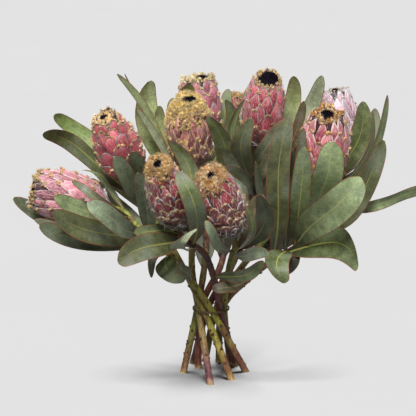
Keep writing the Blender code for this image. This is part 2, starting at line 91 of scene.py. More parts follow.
# One row per leaf, by stem: height of its base on the stem, tip, width, roll in degrees (0 shows its face to
# the front) and how far its middle bends off the straight line. A leaf that would meet another piece is
# shifted and turned from there until it is clear.
LEAVES = {
    1: [
        (218, (-106, -115, 334), 26, 5, (4, -14, 0)),
        (212, (-228, -120, 276), 36, 0, (0, -8, -8)),
        (222, (-178, -125, 292), 30, 0, (0, -10, -4)),
        (205, (-250, -95, 250), 33, 10, (0, -8, -5)),
        (240, (-227, -105, 295), 28, 10, (0, -22, -2)),
        (246, (-203, -75, 313), 15, 20, (0, -30, 4)),
        (212, (-297, 10, 268), 32, 15, (0, 14, -14)),
        (248, (-194, 25, 308), 18, 60, (0, 16, 10)),
        (222, (-260, -55, 250), 20, 20, (0, -5, -8)),
        (192, (-42, -75, 160), 32, 0, (-14, -14, 4)),
        (185, (-88, -90, 172), 14, 20, (-8, -12, 25)),
        (148, (-50, -95, 197), 18, 30, (0, -8, 4)),
    ],
    2: [
        (262, (-141, -70, 348), 27, 10, (0, -8, 0)),
        (268, (-114, -75, 358), 26, -5, (4, -8, 0)),
        (274, (-235, 30, 392), 26, 10, (-6, 30, 12)),
        (266, (-249, 0, 369), 27, -15, (-10, 34, 10)),
        (240, (-95, -20, 330), 28, 10, (6, -6, 0)),
    ],
    8: [
        (214, (-47, -150, 344), 30, 5, (16, -25, 0)),
        (222, (-134, -140, 208), 38, 0, (0, -15, 12)),
        (228, (-111, -135, 251), 21, 10, (0, -8, 8)),
        (234, (-60, -60, 370), 26, -10, (24, 18, 0)),
        (236, (-28, -130, 284), 16, 20, (4, -10, 0)),
        (208, (-22, -130, 255), 22, -5, (-28, -14, -8)),
        (158, (76, -110, 202), 21, 25, (0, -12, -8)),
        (212, (-70, -20, 330), 30, 0, (4, 14, 0)),
    ],
    9: [
        (206, (70, -120, 303), 30, 10, (22, 4, -10)),
        (204, (50, -125, 288), 13, 30, (16, -6, -8)),
        (198, (83, -150, 225), 20, 30, (0, -20, 4)),
        (205, (-9, -138, 268), 18, 15, (-6, -14, -4)),
        (212, (19, -75, 361), 24, 0, (16, 34, 0)),
        (190, (75, -60, 290), 30, 0, (0, -6, 0)),
    ],
    7: [
        (198, (212, -140, 333), 52, 5, (-6, -35, 5)),
        (188, (214, -110, 195), 48, 0, (14, -12, 30)),
        (235, (172, -110, 379), 45, 5, (0, -30, 0)),
        (197, (134, -110, 371), 30, -5, (0, -25, 0)),
        (180, (112, -70, 407), 35, 0, (-4, -30, 0)),
        (192, (104, -130, 174), 36, 0, (-12, -30, 22)),
        (215, (254, -30, 365), 32, 20, (16, -15, -20)),
        (235, (261, 0, 427), 17, 40, (20, 0, -20)),
        (255, (240, 10, 401), 14, 50, (24, 10, -10)),
        (252, (335, -40, 299), 18, 30, (14, 0, -6)),
        (152, (2, -60, 144), 20, 20, (0, -15, 0)),
        (222, (134, -55, 388), 18, 0, (-6, -10, 0)),
        (190, (112, -50, 164), 32, 15, (6, -10, 12)),
        (190, (120, -15, 345), 34, 10, (4, -4, 0)),
    ],
    5: [
        (275, (57, -55, 403), 31, 0, (-14, -35, 0)),
        (285, (106, -30, 395), 24, 0, (-12, -35, 0)),
        (262, (99, -70, 366), 22, 25, (-14, -50, 0)),
        (245, (64, -60, 338), 14, 40, (12, -10, -10)),
        (250, (21, -75, 334), 20, 10, (26, -20, -4)),
        (285, (49, -10, 423), 14, 20, (-25, -15, 0)),
        (280, (126, 50, 447), 27, 0, (19, 25, 0)),
        (270, (168, 60, 446), 26, 0, (8, 30, -10)),
        (290, (138, 0, 418), 16, 10, (20, -15, 0)),
        (230, (120, 120, 330), 30, 0, (10, 10, -8)),
        (225, (100, -10, 330), 34, 0, (0, -6, 0)),
    ],
    4: [
        (262, (-92, 25, 444), 38, 0, (-26, 18, 0)),
        (255, (-138, -15, 461), 13, 15, (4, 15, 0)),
        (262, (-128, 5, 458), 8, 50, (0, 20, 0)),
        (268, (-110, -12, 410), 13, 20, (0, 0, 0)),
        (285, (-60, 15, 412), 24, 0, (-18, 10, 0)),
        (275, (-3, -45, 404), 32, 0, (38, -30, 0)),
        (285, (24, 40, 413), 24, 0, (25, 20, 0)),
        (290, (-34, 50, 435), 30, 0, (-5, 42, 0)),
        (280, (-78, 30, 405), 20, 0, (-12, 15, 0)),
    ],
    6: [
        (270, (229, 30, 412), 32, 0, (11, -10, -10)),
        (250, (255, 120, 385), 30, 0, (20, 20, -10)),
        (235, (262, 110, 300), 30, 0, (10, 20, -8)),
        (262, (160, 160, 385), 28, 0, (-10, 20, 0)),
        (225, (215, 160, 270), 34, 0, (0, 20, 10)),
        (222, (150, 30, 372), 34, 0, (-6, -6, 0)),
    ],
    3: [
        (290, (57, 50, 430), 26, 0, (14, -10, -14)),
        (280, (-60, 130, 400), 28, 0, (-8, 14, 0)),
        (262, (-75, 100, 360), 28, 0, (-8, 10, 0)),
    ],
    10: [
        (270, (26, 140, 412), 22, 0, (-14, 12, 0)),
        (240, (105, 190, 360), 30, 0, (10, 14, -8)),
        (225, (20, 205, 330), 32, 0, (0, 14, -8)),
        (200, (75, 185, 240), 32, 0, (0, 12, 12)),
        (215, (-45, 185, 290), 30, 0, (-6, 12, -6)),
        (195, (45, 60, 330), 34, 0, (0, -4, 0)),
    ],
}
# Leaves that fill the back of the bunch, in rows of the same kind.
BACK_LEAVES = {
    1: [
        (215, (-185, 75, 285), 30, 0, (0, 14, -6)),
        (190, (-150, 85, 215), 32, 0, (0, 12, 12)),
        (200, (-170, 55, 252), 32, 0, (0, 10, -4)),
    ],
    2: [(240, (-195, 80, 345), 30, 0, (0, 14, -6)), (225, (-120, 110, 330), 30, 0, (0, 14, -6))],
    3: [(150, (-6, 75, 232), 34, 0, (0, 10, 0))],
    4: [(190, (-82, 45, 240), 34, 0, (0, 8, -4))],
    5: [(235, (72, 60, 352), 34, 0, (0, 12, 0))],
    6: [(185, (140, 70, 218), 34, 0, (0, 8, -8)), (245, (226, 95, 335), 30, 0, (0, 8, 0))],
    10: [(160, (22, 80, 240), 30, 0, (0, 10, 0))],
}

# Share of the leaf's length, and share of its width there: first the solid's few rows, then the rounder
# outline that the finished blade has. A leaf keeps its clearance on both.
LEAF_OUTLINE = [(0.0, 0.13), (0.2, 0.68), (0.5, 1.0), (0.84, 0.88), (1.0, 0.42)]
TRUE_OUTLINE = [
    (0.0, 0.12), (0.06, 0.22), (0.15, 0.5), (0.28, 0.8), (0.42, 0.96), (0.54, 1.0),
    (0.68, 0.99), (0.8, 0.92), (0.9, 0.77), (0.96, 0.56), (1.0, 0.16),
]
LEAF_THICKNESS = 1.0  # of the solid's blade
LEAF_FOLD = 0.16  # rise of the rims over the midrib, as a share of the half width
LEAF_TWIST = math.radians(14)
LEAF_SWAY = 0.025  # sideways swing of the midrib, as a share of the leaf's length
LEAF_PHASE = 2.4  # sets each leaf's sway and twist apart from the last one's
LEAF_CLEARANCE = 0.55  # kept free on each face of a leaf
SIGHT_LINE = Vector((0, 1, -0.231))  # away from the front, down a line of sight 13 degrees above the level

# Height share along the head, and radius share there.
HEAD_PROFILE = [(0.0, 0.28), (0.1, 0.62), (0.28, 0.9), (0.5, 1.0), (0.72, 0.92), (0.9, 0.7), (1.0, 0.52)]
HEAD_CLEARANCE = 1.6  # kept free round a head

# What a leaf tries to get clear: shifts of its tip and its middle along the sight line, and turns.
SHIFTS = (0, -8, 8, -16, 16, -26, 26, -38, 38, -52, 52)
MIDDLE_SHIFTS = SHIFTS[:9]
TURNS = (0, 14, -14, 30, -30)
TURN_COST = 0.6  # of a degree, against a millimetre of shift


def smooth_path(points, steps):
    """A centripetal Catmull-Rom curve through the points, with this many steps in each span."""
    points = [Vector(p) for p in points]
    points = [2 * points[0] - points[1], *points, 2 * points[-1] - points[-2]]
    path = []
    for p0, p1, p2, p3 in zip(points, points[1:], points[2:], points[3:]):
        t1 = (p1 - p0).length ** 0.5
        t2 = t1 + (p2 - p1).length ** 0.5
        t3 = t2 + (p3 - p2).length ** 0.5
        for step in range(steps):
            t = t1 + (t2 - t1) * step / steps
            a1 = p0.lerp(p1, t / t1)
            a2 = p1.lerp(p2, (t - t1) / (t2 - t1))
            a3 = p2.lerp(p3, (t - t2) / (t3 - t2))
            b1 = a1.lerp(a2, t / t2)
            b2 = a2.lerp(a3, (t - t1) / (t3 - t1))
            path.append(b1.lerp(b2, (t - t1) / (t2 - t1)))
    return [*path, points[-2]]


def head_frame(flower):
    """Base, axis, two directions across it and length of a flower head."""
    base, crown = (Vector(end) for end in HEADS[flower][:2])
    axis = (crown - base).normalized()
    side = axis.cross(Vector((0, 1, 0))).normalized()
    return base, axis, side, axis.cross(side), (crown - base).length


def head_radius(flower, share):
    """Radius of a head at these shares of its length. An open head widens towards its mouth."""
    diameter, mouth = HEADS[flower][2:]
    shares, radii = zip(*HEAD_PROFILE)
    return diameter / 2 * (np.interp(share, shares, radii) + (mouth - radii[-1]) * share**3)


def stem_path(flower, steps):
    """The middle line of a stem, from its end on the floor to its head."""
    (floor_x, floor_y), angle, bends = STEMS[flower]
    base, axis = head_frame(flower)[:2]
    turn = math.radians(angle)
    waist = (RING * math.cos(turn), RING * math.sin(turn), WAIST)
    return smooth_path([(floor_x, floor_y, 0), waist, *bends, base - axis * NECK, base - axis * GAP], steps)


def point_at_height(path, height):
    """The point where a path first reaches this height."""
    for low, high in zip(path, path[1:]):
        if high.z >= height:
            return low.lerp(high, (height - low.z) / (high.z - low.z))
    return path[-1]


def grid_faces(rows, columns, closed=False):
    """Quads between rows of points. A closed grid joins the last column to the first."""
    faces = []
    for row in range(rows - 1):
        for column in range(columns if closed else columns - 1):
            here = row * columns + column
            beside = row * columns + (column + 1) % columns
            faces.append([here, beside, beside + columns, here + columns])
    return faces


def capped_faces(rings, sides):
    """Quads between rings of as many points each, and a cap at either end."""
    caps = [list(reversed(range(sides))), list(range((rings - 1) * sides, rings * sides))]
    return grid_faces(rings, sides, closed=True) + caps


def tube(path, radii, sides, end):
    """Points and faces of a round rod, with its first ring level on the floor and its last one across end."""
    points = []
    across = Vector((1, 0, 0))
    for index, centre in enumerate(path):
        if index == len(path) - 1:
            tangent = end
        else:
            tangent = (path[index + 1] - path[max(index - 1, 0)]).normalized()
        across = (across - tangent * across.dot(tangent)).normalized()
        up = tangent.cross(across)
        for side in range(sides):
            turn = math.tau * side / sides
            point = centre + (across * math.cos(turn) + up * math.sin(turn)) * radii[index]
            if index == 0:
                point -= tangent * (point.z / tangent.z)
            points.append(point)
    return points, capped_faces(len(path), sides)


def stem_radius(share):
    """A stem thins towards the head and swells just under it."""
    return STEM_RADIUS - 0.7 * share + 2.6 * max(0.0, share - 0.93) / 0.07


def stem_solid(flower):
    """The plain rod that stands for a stem where leaves keep clear of it."""
    path = stem_path(flower, 3)
    last = len(path) - 1
    axis = head_frame(flower)[1]
    return tube(path, [stem_radius(index / last) for index in range(last + 1)], STEM_SIDES, axis)


def scar_solid(centre, tangent, outward):
    """A leaf scar: a blunt pyramid that points up and away from the stem."""
    outward = (outward - tangent * outward.dot(tangent)).normalized()
    across = tangent.cross(outward)
    foot = centre + outward * (STEM_RADIUS - 2.2)
    corners = [foot - tangent * 5, foot + across * 3.2, foot + tangent * 3.4, foot - across * 3.2]
    top = centre + outward * (STEM_RADIUS + 2.0) + tangent * 1.4
    faces = [(3, 2, 1, 0), (0, 1, 4), (1, 2, 4), (2, 3, 4), (3, 0, 4)]
    return [*corners, top], faces


def scar_solids(flower):
    """Scars on the free side of the stem, left out where another stem runs too close."""
    path = stem_path(flower, 8)
    others = [point for other in STEMS if other != flower for point in stem_path(other, 8)]
    solids = []
    for index, height in enumerate((18, 38, 60, 134, 156)):
        at = point_at_height(path, height + flower % 4 * 3)
        above = point_at_height(path, height + flower % 4 * 3 + 4)
        outward = Matrix.Rotation(math.radians((-25, 20)[index % 2]), 3, "Z") @ Vector((at.x, at.y, 0))
        points, faces = scar_solid(at, (above - at).normalized(), outward)
        if min((points[-1] - point).length for point in others) > SCAR_CLEARANCE:
            solids.append((points, faces))
    return solids


def leaf_rows(leaf, outline):
    """For each share of the outline: left rim, midrib, right rim and the direction that the face looks in."""
    base, tip, width, roll, bend, phase = leaf
    chord = tip - base
    along = chord.normalized()
    front = Vector((0, -1, 0.3)) if tip.y < 75 else Vector((tip.x * 0.004, 1, 0.3))
    face = (front - along * front.dot(along)).normalized()
    sway = along.cross(face) * (chord.length * LEAF_SWAY * math.sin(phase))
    twist = LEAF_TWIST * (1 + math.sin(phase * 2.3))
    rows = []
    for share, broad in outline:
        middle = base + chord * share + bend * (4 * share * (1 - share)) + sway * math.sin(math.tau * share)
        turn = Matrix.Rotation(roll + twist * (share - 0.5), 3, along)
        normal = turn @ face
        across = along.cross(normal) * (width * broad / 2)
        lift = normal * (width * broad / 2 * LEAF_FOLD)
        rows.append((middle - across + lift, middle, middle + across + lift, normal))
    return rows


def blade(rows, thickness):
    """A closed blade with three points across each row, and two at its base and its tip."""
    points = []
    for face in (0.5, -0.5):
        for index, (left, middle, right, normal) in enumerate(rows):
            lift = normal * (thickness * face)
            ends = index in (0, len(rows) - 1)
            points += [left + lift, right + lift] if ends else [left + lift, middle + lift, right + lift]
    half = len(points) // 2
    starts = [0, *range(2, half - 2, 3), half - 2]
    upper = []
    for low, high in zip(starts, starts[1:]):
        if low == 0:
            upper += [(0, high + 1, high), (0, 1, high + 1), (1, high + 2, high + 1)]
        elif high == half - 2:
            upper += [(low, low + 1, high), (low + 1, high + 1, high), (low + 1, low + 2, high + 1)]
        else:
            upper += [(low, low + 1, high), (low + 1, high + 1, high)]
            upper += [(low + 1, low + 2, high + 1), (low + 2, high + 2, high + 1)]
    rim = [*starts, half - 1]
    rim += [start + 2 for start in reversed(starts[1:-1])] + [1]
    faces = upper + [tuple(reversed([corner + half for corner in face])) for face in upper]
    for here, there in zip(rim, [*rim[1:], rim[0]]):
        faces += [(here, there, there + half), (here, there + half, here + half)]
    return points, faces


def envelope(flower):
    """A plain solid that holds a whole flower head, for the leaves to keep clear of."""
    base, axis, side, other, length = head_frame(flower)
    points = []
    shares = (-0.01, *(share for share, _ in HEAD_PROFILE[1:]), 1.07)
    for share in shares:
        around = head_radius(flower, share) + HEAD_CLEARANCE
        for step in range(HEAD_SIDES):
            turn = math.tau * step / HEAD_SIDES
            spoke = side * math.cos(turn) + other * math.sin(turn)
            points.append(base + axis * length * share + spoke * around)
    return points, capped_faces(len(shares), HEAD_SIDES)


def tree_of(*solids):
    """One search tree of the faces of these solids."""
    points, faces = [], []
    for some_points, some_faces in solids:
        faces += [tuple(corner + len(points) for corner in face) for face in some_faces]
        points += some_points
    return BVHTree.FromPolygons(points, faces)


def changes():
    """The changes that a leaf tries, smallest first: of tip and middle along the sight line, and of roll."""
    tries = [(tip, middle, roll) for tip in SHIFTS for middle in MIDDLE_SHIFTS for roll in TURNS]
    return sorted(tries, key=lambda change: abs(change[0]) + abs(change[1]) + abs(change[2]) * TURN_COST)


def guard(leaf, first):
    """A tree of the leaf from this row on, thicker by its clearance, and the box around it."""
    thickness = LEAF_THICKNESS + 2 * LEAF_CLEARANCE
    coarse = blade(leaf_rows(leaf, LEAF_OUTLINE[first:]), thickness)
    fine = blade(leaf_rows(leaf, TRUE_OUTLINE[2 * first:]), thickness)
    low, high = ([edge(point[axis] for point in fine[0]) - sign for axis in range(3)]
                 for edge, sign in ((min, 3), (max, -3)))
    return tree_of(coarse, fine), low, high


def meet(first, second):
    """Whether two guards touch. Their boxes are compared first, because that is quick."""
    for axis in range(3):
        if first[1][axis] > second[2][axis] or second[1][axis] > first[2][axis]:
            return False
    return bool(first[0].overlap(second[0]))


def solid_guard(*solids):
    """A tree of these solids, and the box around it."""
    points = [point for solid in solids for point in solid[0]]
    corners = [[edge(point[axis] for point in points) for axis in range(3)] for edge in (min, max)]
    return tree_of(*solids), *corners


def settle(flower, leaf, woods, heads, settled):
    """The leaf with its guards, or None where it meets anything. Its root may sink into its own stem."""
    whole = guard(leaf, 0)
    if any(meet(whole, wood) for other, wood in woods.items() if other != flower):
        return None
    if any(meet(whole, head) for head in heads):
        return None
    if any(meet(whole, its_whole) for other, _, its_whole, _ in settled if other != flower):
        return None
    outer = guard(leaf, 1)
    if meet(outer, woods[flower]):
        return None
    if any(meet(outer, its_outer) for other, _, _, its_outer in settled if other == flower):
        return None
    return flower, leaf, whole, outer


def placed_leaves():
    """Every leaf, settled one after another: each takes the first of its poses that is clear of the rest."""
    tries = changes()
    paths = {flower: stem_path(flower, 8) for flower in STEMS}
    woods = {flower: solid_guard(stem_solid(flower), *scar_solids(flower)) for flower in STEMS}
    heads = [solid_guard(envelope(flower)) for flower in HEADS]
    rows = [(flower, *row) for table in (LEAVES, BACK_LEAVES) for flower in table for row in table[flower]]
    settled = []
    for index, (flower, height, tip, width, roll, bend) in enumerate(rows):
        base = point_at_height(paths[flower], height)
        for tip_shift, middle_shift, turn in tries:
            end = Vector(tip) + SIGHT_LINE * tip_shift
            curve = Vector(bend) + SIGHT_LINE * middle_shift
            leaf = (base, end, width, math.radians(roll + turn), curve, index * LEAF_PHASE)
            found = settle(flower, leaf, woods, heads, settled)
            if found:
                settled.append(found)
                break
        else:
            print("left out:", flower, height, tip)
    return [(flower, leaf) for flower, leaf, _, _ in settled]


# The tones of the leaves on each stem, in the order of the two tables. The rest are olive.
# Some tones hold painted light and shade as well as the leaf's own colour: bright, and pale on some leaves,
# is painted light on leaves that lie in shade, and black is painted shade on leaves deep in the bunch and at
# its back.
TONES = {
    1: "pale olive pale deep sage grey deep sage deep light grey olive",
    2: "pale pale fresh green deep",
    8: "green olive light light grey silver green grey",
    9: "dark green pale pale pale brown",
    7: "clear green clear light olive green olive light light sage brown grey black deep",
    5: "olive grey silver light dark sage bright silver brown olive deep dark",
    4: "bright sage sage pale green green fresh bright pale",
    6: "light olive olive olive deep grey dark",
    3: "green olive deep black",
    10: "light deep olive olive deep deep black",
}
# Colours of the blade, its midrib and its rim in each tone.
LEAF_TONES = {
    "bright": ("b4c486", "cdd28e", "a06a45"),
    "silver": ("b6c49e", "c6cea6", "9a6448"),
    "clear": ("a9bc88", "e4e294", "8f5439"),
    "fresh": ("8aa05c", "b9c07c", "a06a45"),
    "sage": ("90a071", "b4ba84", "9a6448"),
    "pale": ("94a382", "b2b592", "98634a"),
    "light": ("78865a", "bcbc62", "8f5439"),
    "green": ("67744c", "b4b458", "8a4a3c"),
    "grey": ("686b53", "98946c", "93583f"),
    "brown": ("6a6348", "9c8f62", "8a5038"),
    "olive": ("595e3d", "a09c58", "8a5038"),
    "deep": ("555d43", "89835a", "7f4b38"),
    "dark": ("454933", "77744c", "7a4234"),
    "black": ("373526", "5c5638", "6a3a2e"),
}
# Extra waving of a leaf's rims, in millimetres, by stem and place among that stem's leaves.
WAVES = {(2, 3): 2.2, (1, 6): 1.6, (7, 9): 1.6, (1, 11): 2.0, (8, 5): 1.4, (1, 4): 1.2, (9, 0): 1.0}

# Colours up each stem, from the cut end to the head.
BARK = {
    1: ("8c5a46", "94903a", "868c3e"),
    2: ("94743a", "928e38", "828a3e"),
    3: ("7d5a3c", "7c7c3a", "6b4638"),
    4: ("6a3a42", "94804a", "73723e"),
    5: ("6d4638", "5c3a30", "707840"),
    6: ("85783c", "8a6a48", "74803e"),
    7: ("7e7a38", "84603c", "6a5a38"),
    8: ("6e3c34", "5a2f2c", "2f1d1a"),
    9: ("74463a", "8c8a40", "848a44"),
    10: ("7c4536", "7a4334", "5f3c30"),
}
CUT_WOOD = "c2a070"
STUB = "54382a"
BARK_RUST = "754838"
BARK_STRAW = "bca066"
BARK_FRECKLE = "3c281c"

LEAF_WAX = "8a958a"
LEAF_YELLOW = "46521f"
LEAF_UNDERSIDE = "b2bd9e"

# Tips of the tiers of bracts, as shares of the head's length.
TIERS = {
    "spoon": (0.07, 0.13, 0.2, 0.32, 0.46, 0.6, 0.76, 0.9, 1.0),
    "scaly": (0.07, 0.13, 0.19, 0.25, 0.31, 0.38, 0.46, 0.56, 0.7, 0.87, 1.0),
    "long": (0.07, 0.13, 0.2, 0.3, 0.42, 0.56, 0.74, 0.9, 1.0),
}


class Bloom:
    """How one flower head looks. Lengths are in millimetres, and colours are hex sRGB."""

    def __init__(self, tiers, around, deep, body, pale):
        self.tiers = TIERS[tiers]
        self.pointed = tiers != "spoon"
        self.reach = 3.6 if tiers == "long" else 2.5  # length of a bract, in gaps between tiers
        self.around = around  # bracts in each tier
        self.deep, self.body, self.pale = deep, body, pale  # a bract's foot and sides, middle and upper part

    def edged(self, felt, band, hem, line):
        self.felt, self.band = felt, band  # the downy band along a bract's tip, and its width
        self.hem = hem  # width of the white edge along its sides
        self.line = line  # strength of the painted shadow, a dark line round its tip
        return self

    def wool(self, colour, clumps, size, cover, margin):
        self.wool_colour = colour
        self.clumps, self.clump_size = clumps, size  # on each bract's tip
        self.cover = cover  # share of the head's length from which wool covers it to the top
        self.margin = margin  # white hairs on the sides of a bract
        return self

    def eye(self, radius, right, front, slant, inner):
        self.eye_radius = radius
        self.eye_shift = (right, front)  # of the dark centre, off the head's axis
        self.slant = slant  # share of the head's length by which the mouth dips towards the front
        self.inner = inner  # rings of narrow bracts inside the mouth
        return self

    def combed(self, strands, low, colour):
        self.strands = strands  # long hairs that lie down the head from its crown
        self.strand_low = low  # share of the head's length down to which they are found
        self.strand_colour = colour
        return self


BLOOMS = {
    1: Bloom("long", 11, "b8687c", "e28c9c", "efbcc2").edged("ecd4cc", 2.2, 0.5, 0.3)
    .wool("d6a85c", 5, 1.9, 2.0, 26).eye(15, 0, 3, 0.0, 2).combed(90, 0.3, "f4e6e4"),
    2: Bloom("spoon", 9, "96323f", "d45a68", "e8929a").edged("857876", 3.0, 0.2, 0.9)
    .wool("f0c888", 7, 1.6, 2.0, 10).eye(6.5, -2, 2, 0.045, 2).combed(130, 0.5, "e6c890"),
    3: Bloom("long", 9, "8c444e", "be6474", "d0929c").edged("b09c9e", 3.6, 0.2, 0.1)
    .wool("f2dca4", 6, 2.0, 2.0, 10).eye(12, 11, 2, 0.07, 2).combed(60, 0.5, "e6d2c0"),
    4: Bloom("long", 15, "7a3844", "b46672", "dcaaae").edged("e0b48c", 3.0, 0.3, 0.0)
    .wool("ffdc80", 5, 1.6, 0.82, 16).eye(10.8, 8, 0, 0.045, 0).combed(420, 0.15, "f6cf86"),
    5: Bloom("long", 9, "98303e", "d8566a", "f0a2a6").edged("d4b8b2", 2.4, 0.5, 0.9)
    .wool("d8ac66", 3, 1.7, 2.0, 22).eye(14, 4, 2, 0.07, 2).combed(170, 0.3, "efd8d6"),
    6: Bloom("long", 10, "b8788e", "e4b2c2", "f4e2e8").edged("f4ecee", 3.0, 0.8, 0.5)
    .wool("dccac8", 1, 1.3, 2.0, 60).eye(6, 0, 2, 0.02, 2).combed(200, 0.5, "f6eef0"),
    7: Bloom("long", 10, "ac3c4c", "e27480", "f2b0b0").edged("f0d4d0", 2.6, 0.4, 0.0)
    .wool("dc9838", 4, 2.4, 2.0, 10).eye(10.5, 0, 3, 0.05, 2).combed(140, 0.3, "f4dcd8"),
    8: Bloom("scaly", 11, "70202c", "ba3e4a", "d28a8a").edged("d0bab6", 1.2, 0.4, 0.0)
    .wool("dca650", 4, 1.9, 0.92, 60).eye(7.5, -1, 1, 0.03, 0).combed(330, 0.08, "efe6e4"),
    9: Bloom("scaly", 11, "601a24", "ac3842", "c87c7a").edged("ccb6b0", 1.2, 0.4, 0.0)
    .wool("cc9040", 4, 1.9, 0.92, 60).eye(7.5, 0, 3, 0.04, 0).combed(400, 0.08, "ece2dc"),
    10: Bloom("spoon", 10, "8f3444", "b85060", "c47a84").edged("a39a98", 2.6, 0.6, 0.5)
    .wool("d6aa5c", 3, 2.0, 0.88, 10).eye(7, 0, 0, 0.0, 1).combed(60, 0.3, "e0c8a8"),
}
SCALE_BROWN = "6e4c3e"
SCALE_GREEN = "4a5226"
# Painted shadow: the dark line round the tip of a bract.
TIP_SHADOW = "33241f"
WOOL_CREAM = "f2dcae"
WHITE_HAIR = "f0eaea"
CENTRE_DARK = "1b1220"
TWINE_BROWN = "6f5a38"

BRACT_SINK = 2.6  # depth of a bract's foot under the surface of its head
BRACT_ARCH = 1.6  # how much lower the sides of a bract lie than its middle
BRACT_CURL = 0.9  # how far its tip curls in
BRACT_THICKNESS = 0.9
MOUTH_FLOOR = 0.965  # share of the head's length at which its mouth has its floor
CROWN_TOP = 0.995  # and at which a woolly crown has its rim
LOPSIDED = 0.08  # share of the head's length by which wool reaches lower on a crown's left than on average
CLUMP_HAIRS = 14  # on each clump of wool
EYE_HAIRS = 36  # white hairs round the dark centre of a woolly head
GOLDEN_TURN = 2.39996  # radians between one style and the next

# Shares of a head's length where the body behind its bracts has a ring, and the rings of the dome under its
# styles: height, and share of the dome's radius.
CORE_SHARES = (0.0, 0.05, 0.12, 0.2, 0.3, 0.4, 0.5, 0.6, 0.7, 0.8, 0.88, 0.93, 0.97)
DOME = ((-3, 0.9), (0.5, 1.0), (2.0, 0.92), (3.2, 0.66), (4.0, 0.32), (4.2, 0.08))

# Radius of each kind of hair at its root.
FLEECE = 0.24
MARGIN_HAIR = 0.4
STRAND = 0.34
EYE_HAIR = 0.28
STYLE = 0.5

# Slow waves that push the points of a head about: how many, their lengths, and how far they push.
RIPPLES = 7
RIPPLE_LENGTHS = (16.0, 42.0)
RIPPLE_HEIGHT = 0.75

# Seeds of the random draws. The flower's number is added to the last three.
LEAF_SEED = 11
STEM_SEED = 100
HEAD_SEED = 200
RIPPLE_SEED = 300


def linear(hex_colour):
    """Linear RGB of a hex sRGB colour."""
    shares = np.array([int(hex_colour[at:at + 2], 16) / 255 for at in (0, 2, 4)])
    return np.where(shares <= 0.04045, shares / 12.92, ((shares + 0.055) / 1.055) ** 2.4)


def smoothstep(low, high, values):
    """0 up to low, 1 from high on, and a smooth rise between them."""
    share = np.clip((values - low) / (high - low), 0, 1)
    return share * share * (3 - 2 * share)


def unit(vectors):
    """The same directions with a length of 1."""
    return vectors / np.maximum(np.linalg.norm(vectors, axis=-1, keepdims=True), 1e-9)


class Shape:
    """A mesh in the making: its points in layout millimetres, its faces, and values stored on its points."""

    def __init__(self):
        self.points, self.faces, self.values, self.count = [], [], {}, 0

    def add(self, points, faces, **values):
        """Points as rows of three, faces as lists of corners, values as a number or row for each point."""
        points = np.asarray(points, float).reshape(-1, 3)
        self.points.append(points)
        self.faces += [[corner + self.count for corner in face] for face in faces]
        for name, value in values.items():
            value = np.asarray(value, float)
            width = (3,) if value.shape[-1:] == (3,) and value.shape != (len(points),) else ()
            self.values.setdefault(name, []).append(np.broadcast_to(value, (len(points), *width)))
        self.count += len(points)

    def finish(self, name, material, slot, *nodes, crease=50):
        """The Blender object, riding on the root body in place of these CAD nodes."""
        mesh = bpy.data.meshes.new(name)
        mesh.from_pydata(np.concatenate(self.points) * MM + SHIFT, [], self.faces)
        for label, rows in self.values.items():
            data = np.concatenate(rows)
            colour = data.ndim == 2
            layer = mesh.attributes.new(label, "FLOAT_COLOR" if colour else "FLOAT", "POINT")
            if colour:
                data = np.concatenate([data, np.ones((len(data), 1))], axis=1)
            layer.data.foreach_set("color" if colour else "value", data.astype(np.float32).ravel())
        mesh.polygons.foreach_set("use_smooth", [True] * len(mesh.polygons))
        mesh.set_sharp_from_angle(angle=math.radians(crease))
        mesh.materials.append(material)
        mesh.validate()
        piece = bpy.data.objects.new(name, mesh)
        bpy.context.scene.collection.objects.link(piece)
        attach(piece, "root")
        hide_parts(*nodes)
        return piece


def sheet_faces(rows, columns):
    """A thin closed sheet: an upper grid, a lower grid after it, and the rim between them."""
    half = rows * columns
    faces = grid_faces(rows, columns)
    faces += [[corner + half for corner in reversed(face)] for face in faces]
    rim = [*range(columns), *range(2 * columns - 1, half, columns)]
    rim += [*range(half - 2, half - columns - 1, -1), *range(half - 2 * columns, 0, -columns)]
    for here, there in zip(rim, [*rim[1:], rim[0]]):
        faces.append([there, here, here + half, there + half])
    return faces


def twice(values):
    """Values of a sheet's upper face, for both of its faces."""
    return np.tile(values.ravel(), 2)


LEAF_ROWS = 24
LEAF_COLUMNS = 9


def fine_outline():
    """The leaf's outline again, with many rows and no corners."""
    table = smooth_path([(share, broad, 0) for share, broad in TRUE_OUTLINE], 8)
    shares, broads = [point.x for point in table], [point.y for point in table]
    rows = (1 - np.cos(np.linspace(0, np.pi, LEAF_ROWS))) / 2
    return [(share, float(np.interp(share, shares, broads))) for share in rows]


BLADE_LIFT = 0.3  # of the blade, off the surface that its rows lie on
RIDGE = 0.45  # extra thickness along the midrib
RIDGE_WIDTH = 0.8


